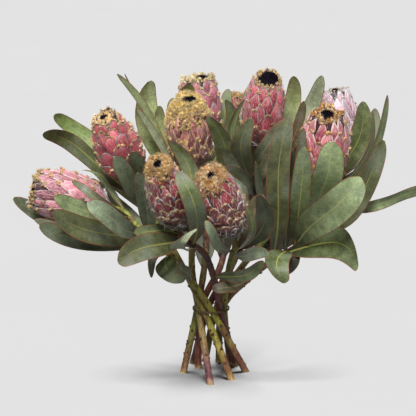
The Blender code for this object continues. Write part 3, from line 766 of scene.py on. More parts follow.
def add_leaf(shape, leaf, tone, wave, outline, rng):
    """One blade, folded along its midrib and thicker there, with its rims a little waved."""
    rows = leaf_rows(leaf, outline)
    left, middle, right, normal = (np.array([row[part][:] for row in rows])[:, None] for part in range(4))
    across = np.linspace(-1, 1, LEAF_COLUMNS)[None]
    across = np.sign(across) * np.abs(across) ** 0.85
    out = np.abs(across)
    share = np.array([share for share, _ in outline])[:, None]
    half = np.linalg.norm(right - left, axis=2) / 2
    steps = np.linalg.norm(np.diff(middle[:, 0], axis=0), axis=1)
    run = np.concatenate([[0], np.cumsum(steps)])[:, None]
    upper = middle * (1 - out[..., None]) + np.where(across[..., None] < 0, left, right) * out[..., None]
    phase = rng.uniform(0, math.tau)
    swing = np.sin(share * rng.uniform(13, 19) + phase + np.where(across < 0, 0, 2.1))
    lift = (wave + 0.7) * out**2.2 * swing * np.sin(np.pi * share) ** 0.5
    ridge = RIDGE * np.exp(-(across * half / RIDGE_WIDTH) ** 2) * (1 - 0.7 * share)
    thick = 0.35 + 0.45 * (1 - out**3) * (1.2 - share)
    upper = upper + normal * (lift + ridge * 0.3)[..., None]
    lower = upper - normal * (thick + ridge)[..., None]
    points = np.stack([upper, lower]) + normal * BLADE_LIFT
    blade_colour, rib, rim = (linear(colour) for colour in LEAF_TONES[tone])
    off = out * half
    shape.add(
        points, sheet_faces(LEAF_ROWS, LEAF_COLUMNS),
        tint=blade_colour * rng.uniform(0.9, 1.1), rib=rib, rim=rim, under=np.repeat([0.0, 1.0], off.size),
        off=twice(off), inset=twice(half - off),
        run=twice(np.broadcast_to(run, off.shape)), share=twice(np.broadcast_to(share, off.shape)),
    )


# Rings of a stub: how far out of the bark and up the stem each one lies, and its radius.
STUB_RINGS = (
    (-1.6, -2.6, 3.1), (-0.2, -1.2, 2.9), (0.5, 0.0, 2.2), (1.2, 0.9, 1.6), (1.9, 1.5, 1.2), (2.1, 1.7, 0.5),
)
STUB_SIDES = 10
SCARS = ((18, -25), (38, 20), (60, -25), (134, -25), (156, 20))  # height on a stem, and degrees to one side
TIE_ZONE = (88, 112)  # heights between which the twine leaves no room for stubs
STALK_SIDES = 16

# Heights on a stem between which its low colour turns into the middle one, that one into the high one, and
# the pale cut end into bark.
LOW_BLEND = (15, 75)
HIGH_BLEND = (120, 210)
CUT_BLEND = (1.0, 3.2)


def stub_place(path, height):
    """The point of a stem at this height, and the direction of the stem there."""
    at = point_at_height(path, height)
    return at, (point_at_height(path, height + 4) - at).normalized()


def add_stub(shape, centre, tangent, outward, scale, rng):
    """The foot of a leaf that was stripped off: a short bent knob on a broad scar."""
    outward = (outward - tangent * outward.dot(tangent)).normalized()
    across = tangent.cross(outward)
    points = []
    for out, up, radius in STUB_RINGS:
        for step in range(STUB_SIDES):
            turn = math.tau * step / STUB_SIDES
            size = radius * rng.uniform(0.86, 1.1)
            reach = STEM_RADIUS - 0.5 + out * scale
            point = centre + outward * reach + tangent * (up + math.sin(turn) * size * 1.25) * scale
            points.append(point + across * (math.cos(turn) * size * scale))
    shape.add(points, capped_faces(len(STUB_RINGS), STUB_SIDES), tint=linear(STUB) * rng.uniform(0.6, 1.2))


def make_stem(flower, material):
    """Bark, leaf scars and the pale cut end."""
    shape = Shape()
    rng = np.random.default_rng(STEM_SEED + flower)
    path = stem_path(flower, 12)
    last = len(path) - 1
    swell = rng.uniform(0.97, 1.05, last + 1)
    radii = [stem_radius(index / last) * swell[index] * 1.02 for index in range(last + 1)]
    points, faces = tube(path, radii, STALK_SIDES, head_frame(flower)[1])
    points = np.array([point[:] for point in points])
    points[:STALK_SIDES, 2] = 0
    low, middle, high = (linear(colour) for colour in BARK[flower])
    height = points[:, 2][:, None]
    tint = low + (middle - low) * smoothstep(*LOW_BLEND, height)
    tint = tint + (high - tint) * smoothstep(*HIGH_BLEND, height)
    tint = tint + (linear(CUT_WOOD) - tint) * (1 - smoothstep(*CUT_BLEND, height)) * 0.8
    shape.add(points, faces, tint=tint)
    for height, side in SCARS:
        at, tangent = stub_place(path, height + flower % 4 * 3)
        outward = Matrix.Rotation(math.radians(side), 3, "Z") @ Vector((at.x, at.y, 0))
        add_stub(shape, at, tangent, outward, 1.0, rng)
    heights = np.arange(10, 225, 11) + rng.uniform(-4, 4, 20)
    for height in heights[(heights < TIE_ZONE[0]) | (heights > TIE_ZONE[1])]:
        at, tangent = stub_place(path, height)
        turn = rng.uniform(0, math.tau)
        outward = Vector((math.cos(turn), math.sin(turn), 0))
        add_stub(shape, at, tangent, outward, rng.uniform(0.55, 0.95), rng)
    return shape.finish(f"stalk_{flower:02d}", material, "leafy_stem", f"stem_{flower:02d}")


class Head:
    """One flower head: its frame as arrays, and its looks."""

    def __init__(self, flower):
        self.flower, self.bloom = flower, BLOOMS[flower]
        *ways, self.length = head_frame(flower)
        self.base, self.axis, self.side, self.other = (np.array(way[:]) for way in ways)
        self.mouth = self.radius(1.0)

    def radius(self, share):
        """Radius at these shares of the length."""
        return head_radius(self.flower, share)

    def spokes(self, turn):
        """Directions away from the axis, at these turns round it."""
        return np.cos(turn)[..., None] * self.side + np.sin(turn)[..., None] * self.other

    def points(self, height, spoke, around):
        """Points this high along the axis, and this far out along these spokes."""
        return self.base + self.axis * np.asarray(height)[..., None] + spoke * around[..., None]


def bract_grid(head, angle, tip, reach, width, lift, size, skew=0.0, inward=0.0):
    """Points on the outer face of one bract, foot to tip, and the directions away from the head's axis."""
    rows, columns = size
    along = np.sin(np.linspace(0, 1, rows) * np.pi / 2)
    upper = np.clip((along - 0.42) / 0.58, 0, 1)
    taper = (1 - 0.98 * upper**1.7) ** 0.7 if head.bloom.pointed else np.sqrt(1 - 0.985 * upper**2.6)
    broad = (0.72 + 0.28 * np.sin(np.clip(along / 0.5, 0, 1) * np.pi / 2)) * taper
    across = np.linspace(-1, 1, columns)
    share = tip - reach * (1 - along)
    surface = head.radius(np.clip(share, 0, 1)) * (1 - inward * smoothstep(0.6, 1.0, share))
    curl = BRACT_CURL * np.clip((along - 0.75) / 0.25, 0, 1) ** 2
    rise = -BRACT_SINK + (lift + BRACT_SINK) * along**0.8 - curl
    around = (surface + rise)[:, None] - BRACT_ARCH * across[None] ** 2 * broad[:, None]
    turn = angle + skew * (along**2)[:, None] + width * broad[:, None] * across[None]
    spoke = head.spokes(turn)
    return head.points((share * head.length)[:, None], spoke, around), spoke, along


def outline_of(grid):
    """The rim of a bract's grid: up its left side, over the tip and down the right side."""
    return np.concatenate([grid[1:, 0], grid[-1, 1:-1], grid[1:, -1][::-1]])


def add_bract(shape, points, spoke, along, bloom, age, rng):
    """The bract as a thin closed sheet. Age is 1 on the small brown scales at the foot of the head."""
    rows, columns = points.shape[:2]
    flat = points.reshape(-1, 3)
    edge = np.linalg.norm(flat[:, None] - outline_of(points)[None], axis=2).min(axis=1)
    deep, body, pale = (linear(colour) for colour in (bloom.deep, bloom.body, bloom.pale))
    across = np.tile(np.linspace(-1, 1, columns), rows)[:, None]
    up = np.repeat(along, columns)[:, None]
    tint = deep + (body - deep) * smoothstep(0.25, 0.7, up)
    tint = tint + (pale - tint) * smoothstep(0.6, 1.0, up) * rng.uniform(0.1, 1.0)
    tint = tint + (deep - tint) * rng.uniform(0.3, 0.8) * np.abs(across) ** 2.5
    brown = linear(SCALE_BROWN) * rng.uniform(0.2, 1.0) + linear(SCALE_GREEN) * rng.uniform(0, 0.8)
    tint = (tint + (brown - tint) * age) * rng.uniform(0.62, 1.3)
    breadth = np.linalg.norm(points[rows // 2, -1] - points[rows // 2, 0]) / 2
    run = np.linalg.norm(points[-1, columns // 2] - points[0, columns // 2])
    lane = np.concatenate([across * breadth, up * run * 0.14, np.full_like(up, rng.uniform(0, 500))], axis=1)
    shape.add(
        np.stack([points, points - spoke * BRACT_THICKNESS]), sheet_faces(rows, columns),
        tint=np.tile(tint, (2, 1)), lane=np.tile(lane, (2, 1)), edge=twice(edge), up=twice(up),
        felt=linear(bloom.felt) * (1 - 0.3 * age), band=bloom.band * rng.uniform(0.6, 1.2) * (1 - 0.5 * age),
        hem=bloom.hem * rng.uniform(0.5, 1.3) + 1.5 * age * rng.uniform(0.2, 1.2),
        # Strength of the painted shadow round the tip; the scales at the foot get none.
        line=bloom.line * (1 - age) * rng.uniform(0.5, 1.0),
    )


HAIR_FACES = ([0, 1, 4, 3], [1, 2, 5, 4], [2, 0, 3, 5], [3, 4, 6], [4, 5, 6], [5, 3, 6], [2, 1, 0])
SPIKE_FACES = ([0, 1, 3], [1, 2, 3], [2, 0, 3], [2, 1, 0])


def add_hairs(shape, roots, ways, lengths, thick, colours, rng, limp=0.0):
    """Tapered hairs with three sides. A limp one also has a bent knee."""
    count = len(roots)
    if not count:
        return
    ways = unit(ways)
    first = unit(np.cross(ways, rng.normal(size=(count, 3))))
    second = np.cross(ways, first)
    bend = unit(rng.normal(size=(count, 3))) * (lengths * limp)[:, None]
    ring = [first * math.cos(turn) + second * math.sin(turn) for turn in (0, math.tau / 3, math.tau * 2 / 3)]
    parts = [roots - ways * 0.3 + corner * thick for corner in ring]
    shades = [0.75] * 3
    faces = SPIKE_FACES
    if limp:
        knee = roots + ways * (lengths * 0.5)[:, None] + bend * 0.3
        parts += [knee + corner * thick * 0.8 for corner in ring]
        shades += [0.95] * 3
        faces = HAIR_FACES
    parts.append(roots + ways * (lengths * (1 - limp / 3))[:, None] + bend)
    shades.append(1.1)
    step = len(parts)
    tint = colours[:, None] * np.array(shades)[None, :, None]
    all_faces = [[corner + step * index for corner in face] for index in range(count) for face in faces]
    shape.add(np.stack(parts, axis=1), all_faces, tint=tint.reshape(-1, 3))


def ball():
    """Corners and faces of a twenty-sided ball."""
    golden = (1 + 5**0.5) / 2
    corners = [(0, y, z * golden) for y in (-1, 1) for z in (-1, 1)]
    corners = np.array([corner[turn:] + corner[:turn] for turn in range(3) for corner in corners], float)
    gaps = np.linalg.norm(corners[:, None] - corners[None], axis=2)
    near = [set(np.flatnonzero(np.abs(row - 2) < 0.01)) for row in gaps]
    faces = []
    for a in range(len(corners)):
        for b in near[a]:
            for c in near[a] & near[b]:
                if a < b and a < c:
                    outward = np.dot(np.cross(corners[b] - corners[a], corners[c] - corners[a]), corners[a])
                    if outward > 0:
                        faces.append([a, int(b), int(c)])
    return unit(corners), faces


BALL_CORNERS, BALL_FACES = ball()


def add_clumps(shape, centres, outward, bloom, fleece, rng):
    """Clumps of wool: each a rough little ball, with a fleece about this long all over its outer side."""
    count, step = len(centres), len(BALL_CORNERS)
    outward = unit(outward)
    sizes = bloom.clump_size * rng.uniform(0.55, 1.6, count)
    creamy = rng.uniform(0, 1, (count, 1)) ** 1.3 * 0.95
    tints = linear(bloom.wool_colour) * (1 - creamy) + linear(WOOL_CREAM) * creamy
    tints = tints * rng.uniform(0.55, 1.2, (count, 1))
    corners = BALL_CORNERS[None] * rng.uniform(0.35, 1.0, (count, step, 1)) * sizes[:, None, None]
    faces = [[corner + step * index for corner in face] for index in range(count) for face in BALL_FACES]
    shades = rng.uniform(0.75, 1.05, (count, step, 1))
    shape.add(centres[:, None] + corners, faces, tint=(tints[:, None] * shades).reshape(-1, 3))
    hairs = count * CLUMP_HAIRS
    outward, centres, tints = (np.repeat(rows, CLUMP_HAIRS, axis=0) for rows in (outward, centres, tints))
    ways = unit(outward * 0.7 + unit(rng.normal(size=(hairs, 3))))
    roots = centres + ways * (np.repeat(sizes, CLUMP_HAIRS) * 0.5)[:, None]
    hues = tints * rng.uniform(0.85, 1.3, (hairs, 1))
    add_hairs(shape, roots, ways, fleece * rng.uniform(0.4, 1.1, hairs), FLEECE, hues, rng)


def add_fringe(shape, grid, spoke, bloom, count, half, rng):
    """Clumps of wool along the tip of a bract, over this length of rim to either side of it."""
    outline, outward = outline_of(grid), outline_of(spoke)
    steps = np.linalg.norm(np.diff(outline, axis=0), axis=1)
    run = np.concatenate([[0], np.cumsum(steps)])
    run -= run[-1] / 2
    middle = grid[len(grid) // 2, grid.shape[1] // 2]
    places = (np.linspace(-half, half, count) if count > 1 else np.zeros(1)) + rng.normal(0, 0.8, count)
    centres, away = (np.stack([np.interp(places, run, values[:, axis]) for axis in range(3)], axis=1)
                     for values in (outline, outward))
    ways = unit(centres - middle) * 0.5 + away * 0.8 + rng.normal(0, 0.15, (count, 3))
    centres = centres + away * 0.5 + unit(centres - middle) * rng.uniform(-0.6, 0.6, (count, 1))
    add_clumps(shape, centres, ways, bloom, 1.4 + bloom.clump_size, rng)


def add_margin(shape, grid, spoke, count, rng):
    """White hairs that lie along the two sides of a bract."""
    outline, outward = outline_of(grid), outline_of(spoke)
    place = rng.uniform(0, 1, count) * (len(outline) - 1)
    low = np.minimum(place.astype(int), len(outline) - 2)
    share = (place - low)[:, None]
    roots = outline[low] * (1 - share) + outline[low + 1] * share
    along = unit(outline[low + 1] - outline[low]) * np.where(place < (len(outline) - 1) / 2, 1, -1)[:, None]
    ways = along + outward[low] * rng.uniform(0.15, 0.5, (count, 1)) + rng.normal(0, 0.2, (count, 3))
    tints = linear(WHITE_HAIR) * rng.uniform(0.6, 1.3, (count, 1))
    add_hairs(shape, roots, ways, rng.uniform(2.5, 5.5, count), MARGIN_HAIR, tints, rng)


def add_strands(shape, head, rng):
    """Long limp hairs that lie on the head and point to its foot, closer together near the crown."""
    bloom, count = head.bloom, head.bloom.strands
    share = bloom.strand_low + (0.98 - bloom.strand_low) * rng.uniform(0, 1, count) ** 0.7
    spoke = head.spokes(rng.uniform(0, math.tau, count))
    roots = head.points(share * head.length, spoke, head.radius(share) + rng.uniform(1.0, 2.2, count))
    ways = -head.axis + spoke * rng.uniform(0.0, 0.25, (count, 1)) + rng.normal(0, 0.22, (count, 3))
    tints = linear(bloom.strand_colour) * rng.uniform(0.55, 1.1, (count, 1))
    add_hairs(shape, roots, ways, rng.uniform(5, 12, count), STRAND, tints, rng, limp=0.15)


def add_turned(shape, head, rings, sides, **values):
    """A closed body turned round the head's axis: rings of (height, radius)."""
    heights, radii = np.array(rings).T[..., None]
    spoke = head.spokes(np.arange(sides) * math.tau / sides)
    shape.add(head.points(heights, spoke, radii), capped_faces(len(rings), sides), **values)


def add_core(shape, head):
    """The closed body behind the bracts, and the floor of the mouth, near black as painted shade."""
    rings = [(share, head.radius(share) - 3.4 * min(1, share / 0.1)) for share in CORE_SHARES]
    rings += [(MOUTH_FLOOR, head.mouth * 0.8), (MOUTH_FLOOR - 0.005, head.bloom.eye_radius * 0.8)]
    # Painted shade: the body and the mouth's floor are near black, so that the gaps between bracts read as
    # shadow.
    inside = linear(head.bloom.deep) * 0.2
    add_turned(shape, head, [(share * head.length, around) for share, around in rings], 32,
               tint=inside, lane=inside, felt=inside, edge=9.0, band=1.0, hem=0.1, up=0.0, line=0.0)


def add_wool_bed(shape, head):
    """The felted body under the clumps of a woolly crown, hollow at the dark centre."""
    bloom, mouth, eye = head.bloom, head.mouth, head.bloom.eye_radius
    shares = np.linspace(bloom.cover + 0.35 * (1 - bloom.cover), 0.985, 6)
    rings = [(share * head.length, head.radius(share) + lift)
             for share, lift in zip(shares, (-3.0, -0.6, 0.4, 0.6, 0.6, 0.0))]
    top = head.length * CROWN_TOP
    rings += [(top + 1.6, mouth * 0.86), (top + 2.0, (mouth + eye) / 2), (top + 0.8, eye + 0.8)]
    rings += [(top - 3.0, eye + 0.2), (top - 4.0, eye - 1)]
    add_turned(shape, head, rings, 40, tint=linear(bloom.wool_colour) * 0.7)


def add_crown(bracts, wool, head, rng):
    """What closes the mouth round the dark centre: narrow inner bracts, or a domed pad of wool, or both."""
    bloom = head.bloom
    for ring in range(bloom.inner):
        edge = head.mouth + (bloom.eye_radius - head.mouth) * (0.4 + 0.45 * ring)
        count = 13 - 2 * ring
        for place in range(count):
            angle = math.tau * (place + ring / 2) / count + rng.normal(0, 0.08)
            tip, width = 1.0 + rng.normal(0, 0.008), math.pi / count * 1.05
            grid, spoke, along = bract_grid(
                head, angle, tip, 0.3, width, 0.2, (8, 5), inward=1 - edge / head.mouth)
            add_bract(bracts, grid, spoke, along, bloom, 0, rng)
            add_fringe(wool, grid, spoke, bloom, bloom.clumps, 3.0, rng)
    if bloom.cover < 1:
        add_wool_bed(wool, head)
        add_wool_crown(wool, head, rng)


def add_wool_crown(wool, head, rng):
    """Clumps down the outside of the crown and over its mouth, and white hairs round the dark centre."""
    bloom, mouth, eye = head.bloom, head.mouth, head.bloom.eye_radius
    spacing = bloom.clump_size * 1.6
    band = (1 - bloom.cover) * head.length
    outer = int(band * math.tau * mouth * 1.7 / spacing**2)
    turn = rng.uniform(0, math.tau, outer)
    reach = (1 - bloom.cover) * 1.4 + LOPSIDED * np.cos(turn)
    share = 1 - reach * rng.uniform(0, 1, outer) ** 1.5
    around = head.radius(share) + rng.uniform(0.6, 2.4, outer)
    add_pad(wool, head, share * head.length, turn, around, -0.4, 0.8, rng)
    inside = int(math.pi * (mouth**2 - eye**2) * 1.4 / spacing**2)
    inward = rng.uniform(0, 1, inside)
    around = mouth + (eye + 0.6 - mouth) * inward
    dome = 2.8 * np.sin(np.pi * (0.2 + 0.7 * inward))
    height = head.length * CROWN_TOP + dome + rng.uniform(-0.6, 1.2, inside)
    add_pad(wool, head, height, rng.uniform(0, math.tau, inside), around, 0.8, 0.5, rng)
    spoke = head.spokes(rng.uniform(0, math.tau, EYE_HAIRS))
    roots = head.points(head.length + 0.5, spoke, eye + rng.uniform(-0.5, 2.5, EYE_HAIRS))
    tints = linear(WHITE_HAIR) * rng.uniform(0.7, 1.05, (EYE_HAIRS, 1))
    ways = head.axis - spoke * 0.5 + rng.normal(0, 0.4, (EYE_HAIRS, 3))
    add_hairs(wool, roots, ways, rng.uniform(3, 6, EYE_HAIRS), EYE_HAIR, tints, rng)


def add_pad(wool, head, height, turn, around, lean, open_out, rng):
    """Clumps round the head's axis, which lean along it and away from it by these amounts."""
    spoke = head.spokes(turn)
    centres, ways = head.points(height, spoke, around), head.axis * lean + spoke * open_out
    add_clumps(wool, centres, ways, head.bloom, 1.2 + head.bloom.clump_size * 2, rng)


def slanted(head, points):
    """The head's points with its mouth dipped towards the front, and the dark centre shifted off the axis."""
    bloom, axis = head.bloom, head.axis
    height = (points - head.base) @ axis
    rest = points - head.base - height[:, None] * axis
    around = np.linalg.norm(rest, axis=1)
    front = unit(np.array([0, -1, 0]) + axis * axis[1])
    right = np.cross(axis, front)
    towards = (rest @ front) / np.maximum(around, 1e-6) * np.minimum(1, around / head.mouth)
    upper = smoothstep(0.5, 1.05, height / head.length)
    moved = points - axis * (bloom.slant * head.length * upper * (1 + towards))[:, None]
    shift = right * bloom.eye_shift[0] + front * bloom.eye_shift[1]
    share = smoothstep(0.86, 1.0, height / head.length) * np.clip(1 - around / head.mouth, 0, 1) ** 0.6
    return moved + shift * share[:, None]


def rippled(points, seed):
    """The points pushed about by a few slow waves, so that no two tiers of bracts are alike."""
    rng = np.random.default_rng(seed)
    moved = points.copy()
    for _ in range(RIPPLES):
        travel = unit(rng.normal(size=3)) * math.tau / rng.uniform(*RIPPLE_LENGTHS)
        push = unit(rng.normal(size=3)) * RIPPLE_HEIGHT
        moved += np.sin(points @ travel + rng.uniform(0, math.tau))[:, None] * push
    return moved


def add_tiers(bracts, wool, head, rng):
    """The bracts, tier over tier, with their woolly tips and the white hairs along their sides."""
    bloom = head.bloom
    for tier, (below, tip) in enumerate(zip((0.0, *bloom.tiers), bloom.tiers)):
        age = 1 - smoothstep(0.12, 0.42, tip)
        size = (7, 5) if tip < 0.3 else (9, 7)
        for place in range(bloom.around):
            angle = math.tau * (place + tier % 2 / 2) / bloom.around + rng.normal(0, 0.07)
            top = tip + rng.normal(0, 0.02 if tip < 0.95 else 0.01)
            reach = min(top, max(bloom.reach * (tip - below), 0.16))
            width = math.pi / bloom.around * rng.uniform(0.9, 1.3)
            lift = 0.8 + 0.4 * (place % 2) + rng.uniform(-0.5, 1.2)
            skew = rng.normal(0, 0.07)
            grid, spoke, along = bract_grid(head, angle, top, reach, width, lift, size, skew)
            add_bract(bracts, grid, spoke, along, bloom, age, rng)
            add_margin(wool, grid, spoke, int(bloom.margin * (1.1 - 0.8 * tip)), rng)
            if tip > 0.25 and rng.uniform() > 0.1:
                count = rng.integers(max(1, bloom.clumps - 1), bloom.clumps + 2)
                half = 9.0 if bloom.clumps > 6 else 1.1 * bloom.clumps
                add_fringe(wool, grid, spoke, bloom, count, half, rng)


def add_styles(shape, head, rng):
    """The styles, still closed: dark needles that lean together over a small dome."""
    broad = head.bloom.eye_radius * 1.12
    floor = head.length * MOUTH_FLOOR
    add_turned(shape, head, [(floor + rise, broad * out) for rise, out in DOME], 24,
               tint=linear(CENTRE_DARK) * 0.4)
    count = int(1.1 * broad**2) + 60
    order = np.arange(count)
    turn = order * GOLDEN_TURN
    out = np.sqrt((order + 0.5) / count) * broad
    out *= 1 + 0.14 * np.sin(3 * turn + head.flower) + 0.1 * np.sin(5 * turn)
    spoke = head.spokes(turn)
    roots = head.points(floor + 4.0 * (1 - np.minimum(1, out / broad) ** 2), spoke, out)
    ways = head.axis + spoke * rng.normal(-0.2, 0.25, (count, 1)) + rng.normal(0, 0.15, (count, 3))
    tints = linear(CENTRE_DARK) * rng.uniform(0.3, 1.2, (count, 1))
    add_hairs(shape, roots, ways, rng.uniform(2.5, 5.0, count), STYLE, tints, rng, limp=0.2)


def make_head(flower, bract_look, wool_look, style_look):
    """One flower head in three pieces. Gives back the piece with its bracts."""
    head = Head(flower)
    rng = np.random.default_rng(HEAD_SEED + flower)
    bracts, wool, styles = Shape(), Shape(), Shape()
    add_core(bracts, head)
    add_tiers(bracts, wool, head, rng)
    add_crown(bracts, wool, head, rng)
    add_strands(wool, head, rng)
    add_styles(styles, head, rng)
    for shape in (bracts, wool, styles):
        shape.points = [rippled(slanted(head, points), RIPPLE_SEED + flower) for points in shape.points]
    name = f"{flower:02d}"
    made = bracts.finish(f"bracts_{name}", bract_look, "bract", f"head_{name}")
    wool.finish(f"wool_{name}", wool_look, "bract", f"head_{name}", crease=80)
    styles.finish(f"styles_{name}", style_look, "styles", f"centre_{name}", crease=80)
    return made


TWINE_STEPS = 180
TWINE_SIDES = 6
PLY_RADIUS = 0.52
PLY_SWING = 0.42  # from the middle of the cord to the middle of a ply
PLY_TWISTS = 36  # in one turn round the bunch
CORD_RADIUS = 0.95
CORD_GAP = 0.65  # between the stems and the cord


def make_tie(material):
    """Two turns of two-ply twine round the waist."""
    shape = Shape()
    middle = RING + STEM_RADIUS + CORD_GAP + CORD_RADIUS
    for level in (-CORD_RADIUS, CORD_RADIUS):
        for strand in (0, math.pi):
            points = []
            for step in range(TWINE_STEPS):
                turn = math.tau * step / TWINE_STEPS
                twist = turn * PLY_TWISTS + strand
                out = Vector((math.cos(turn), math.sin(turn), 0))
                up = Vector((0, 0, WAIST + level + math.sin(twist) * PLY_SWING))
                centre = out * (middle + math.cos(twist) * PLY_SWING) + up
                for side in range(TWINE_SIDES):
                    angle = math.tau * side / TWINE_SIDES
                    corner = out * math.cos(angle) + Vector((0, 0, math.sin(angle)))
                    points.append(centre + corner * PLY_RADIUS)
            faces = grid_faces(TWINE_STEPS + 1, TWINE_SIDES, closed=True)
            faces = [[corner % len(points) for corner in face] for face in faces]
            shape.add(points, faces, tint=linear(TWINE_BROWN))
    shape.finish("twine", material, "twine", "tie")


class Nodes:
    """Adds shader nodes to one material. Each call returns the new node's output."""

    def __init__(self, name, roughness, sheen=0.0):
        self.material = bpy.data.materials.new(name)
        self.material.use_nodes = True
        self.tree = self.material.node_tree
        self.shader = self.tree.nodes["Principled BSDF"]
        self.shader.inputs["Roughness"].default_value = roughness
        self.shader.inputs["Sheen Weight"].default_value = sheen

    def add(self, kind, inputs, output=0, **settings):
        node = self.tree.nodes.new(kind)
        for key, value in settings.items():
            setattr(node, key, value)
        for key, value in inputs.items():
            if isinstance(value, bpy.types.NodeSocket):
                self.tree.links.new(value, node.inputs[key])
            else:
                node.inputs[key].default_value = value
        return node.outputs[output]

    def stored(self, name, colour=False):
        return self.add("ShaderNodeAttribute", {}, "Color" if colour else "Fac", attribute_name=name)

    def noise(self, scale, detail=3.0, stretch=None):
        vector = self.add("ShaderNodeTexCoord", {}, "Object")
        if stretch:
            vector = self.add("ShaderNodeMapping", {"Vector": vector, "Scale": stretch})
        return self.add("ShaderNodeTexNoise", {"Vector": vector, "Scale": scale, "Detail": detail})

    def maths(self, operation, first, second=0.0, third=0.0):
        return self.add("ShaderNodeMath", {0: first, 1: second, 2: third}, operation=operation)

    def between(self, value, low, high, start=0.0, end=1.0):
        """Value smoothly mapped from low..high onto start..end, and held there beyond."""
        inputs = {"Value": value, "From Min": low, "From Max": high, "To Min": start, "To Max": end}
        return self.add("ShaderNodeMapRange", inputs, interpolation_type="SMOOTHSTEP")

    def mix(self, share, first, second, blend="MIX"):
        inputs = {0: share, 6: first, 7: second}
        return self.add("ShaderNodeMix", inputs, 2, data_type="RGBA", blend_type=blend)

    def dimmed(self, colour, value):
        """Colour times this value."""
        grey = self.add("ShaderNodeCombineColor", {key: value for key in range(3)})
        return self.mix(1.0, colour, grey, "MULTIPLY")

    def shaded(self, colour, share, low, high):
        """Colour made darker or lighter, by a factor that share takes from low to high."""
        return self.dimmed(colour, self.between(share, 0.3, 0.7, low, high))

    def done(self, colour, height=None, depth=0.0003, strength=0.5):
        self.tree.links.new(colour, self.shader.inputs["Base Color"])
        if height:
            bump = self.add("ShaderNodeBump", {"Height": height, "Distance": depth, "Strength": strength})
            self.tree.links.new(bump, self.shader.inputs["Normal"])
        return self.material


def rgba(hex_colour):
    return (*linear(hex_colour), 1)


def leaf_material():
    """A mottled, waxy blade with fine veins, a pale midrib, a reddish rim, a paler underside and painted
    shade towards its base.
    """
    look = Nodes("leaf", 0.46)
    off, inset, run, share = (look.stored(name) for name in ("off", "inset", "run", "share"))
    mottle = look.noise(90, 4)
    colour = look.shaded(look.stored("tint", True), mottle, 0.74, 1.22)
    waxy = look.noise(22, 3)
    colour = look.shaded(colour, waxy, 0.74, 1.28)
    colour = look.mix(look.between(waxy, 0.48, 0.7, 0, 0.36), colour, rgba(LEAF_WAX))
    yellowed = look.between(look.noise(31, 2), 0.56, 0.76, 0, 0.32)
    colour = look.mix(yellowed, colour, look.mix(0.72, look.stored("rib", True), rgba(LEAF_YELLOW)))
    wander = look.maths("MULTIPLY", look.noise(160, 2), 2.6)
    phase = look.maths("MULTIPLY_ADD", off, -1.1, look.maths("ADD", run, wander))
    vein = look.maths("SINE", look.maths("MULTIPLY", phase, math.tau / 4.2))
    vein = look.between(vein, 0.4, 1.0)
    net = look.noise(420, 3)
    colour = look.shaded(colour, net, 0.8, 1.2)
    vein = look.maths("MULTIPLY", vein, look.between(mottle, 0.35, 0.6, 0.05, 0.26))
    colour = look.mix(vein, colour, look.stored("rib", True))
    # Painted shade: each blade darkens towards its base, where it lies deep among the stems.
    colour = look.dimmed(colour, look.between(share, 0.0, 0.4, 0.18, 1.0))
    under = look.maths("MULTIPLY", look.stored("under"), 0.45)
    colour = look.mix(under, colour, rgba(LEAF_UNDERSIDE))
    width = look.maths("MULTIPLY_ADD", share, -1.0, 1.15)
    rib = look.between(look.maths("DIVIDE", off, width), 0.8, 1.7, 1, 0)
    faint = look.between(share, 0.6, 1.0, 0.9, 0.2)
    colour = look.mix(look.maths("MULTIPLY", rib, faint), colour, look.stored("rib", True))
    rim = look.between(look.maths("MULTIPLY_ADD", look.noise(260, 2), -0.6, inset), 0.35, 1.0, 1, 0)
    colour = look.mix(rim, colour, look.stored("rim", True))
    rough = look.between(mottle, 0.3, 0.7, 0.4, 0.56)
    look.tree.links.new(rough, look.shader.inputs["Roughness"])
    height = look.maths("ADD", look.maths("MULTIPLY", vein, 1.5), look.maths("MULTIPLY", net, 0.6))
    return look.done(colour, height, 0.0002, 0.5)


def bark_material():
    """Grained bark with rusty and straw-coloured patches and dark freckles."""
    look = Nodes("bark", 0.62)
    long_grain = look.noise(260, 4, (1, 1, 0.16))
    colour = look.shaded(look.stored("tint", True), long_grain, 0.74, 1.75)
    patch = look.noise(48, 4, (1, 1, 0.5))
    colour = look.mix(look.between(patch, 0.5, 0.6, 0, 0.7), colour, rgba(BARK_RUST))
    pale = look.noise(70, 3, (1, 1, 0.5))
    colour = look.mix(look.between(pale, 0.58, 0.68, 0, 0.5), colour, rgba(BARK_STRAW))
    freckle = look.noise(620, 2)
    colour = look.mix(look.between(freckle, 0.56, 0.66, 0, 0.75), colour, rgba(BARK_FRECKLE))
    height = look.maths("ADD", long_grain, look.maths("MULTIPLY", freckle, 0.5))
    return look.done(colour, height, 0.0008, 0.8)


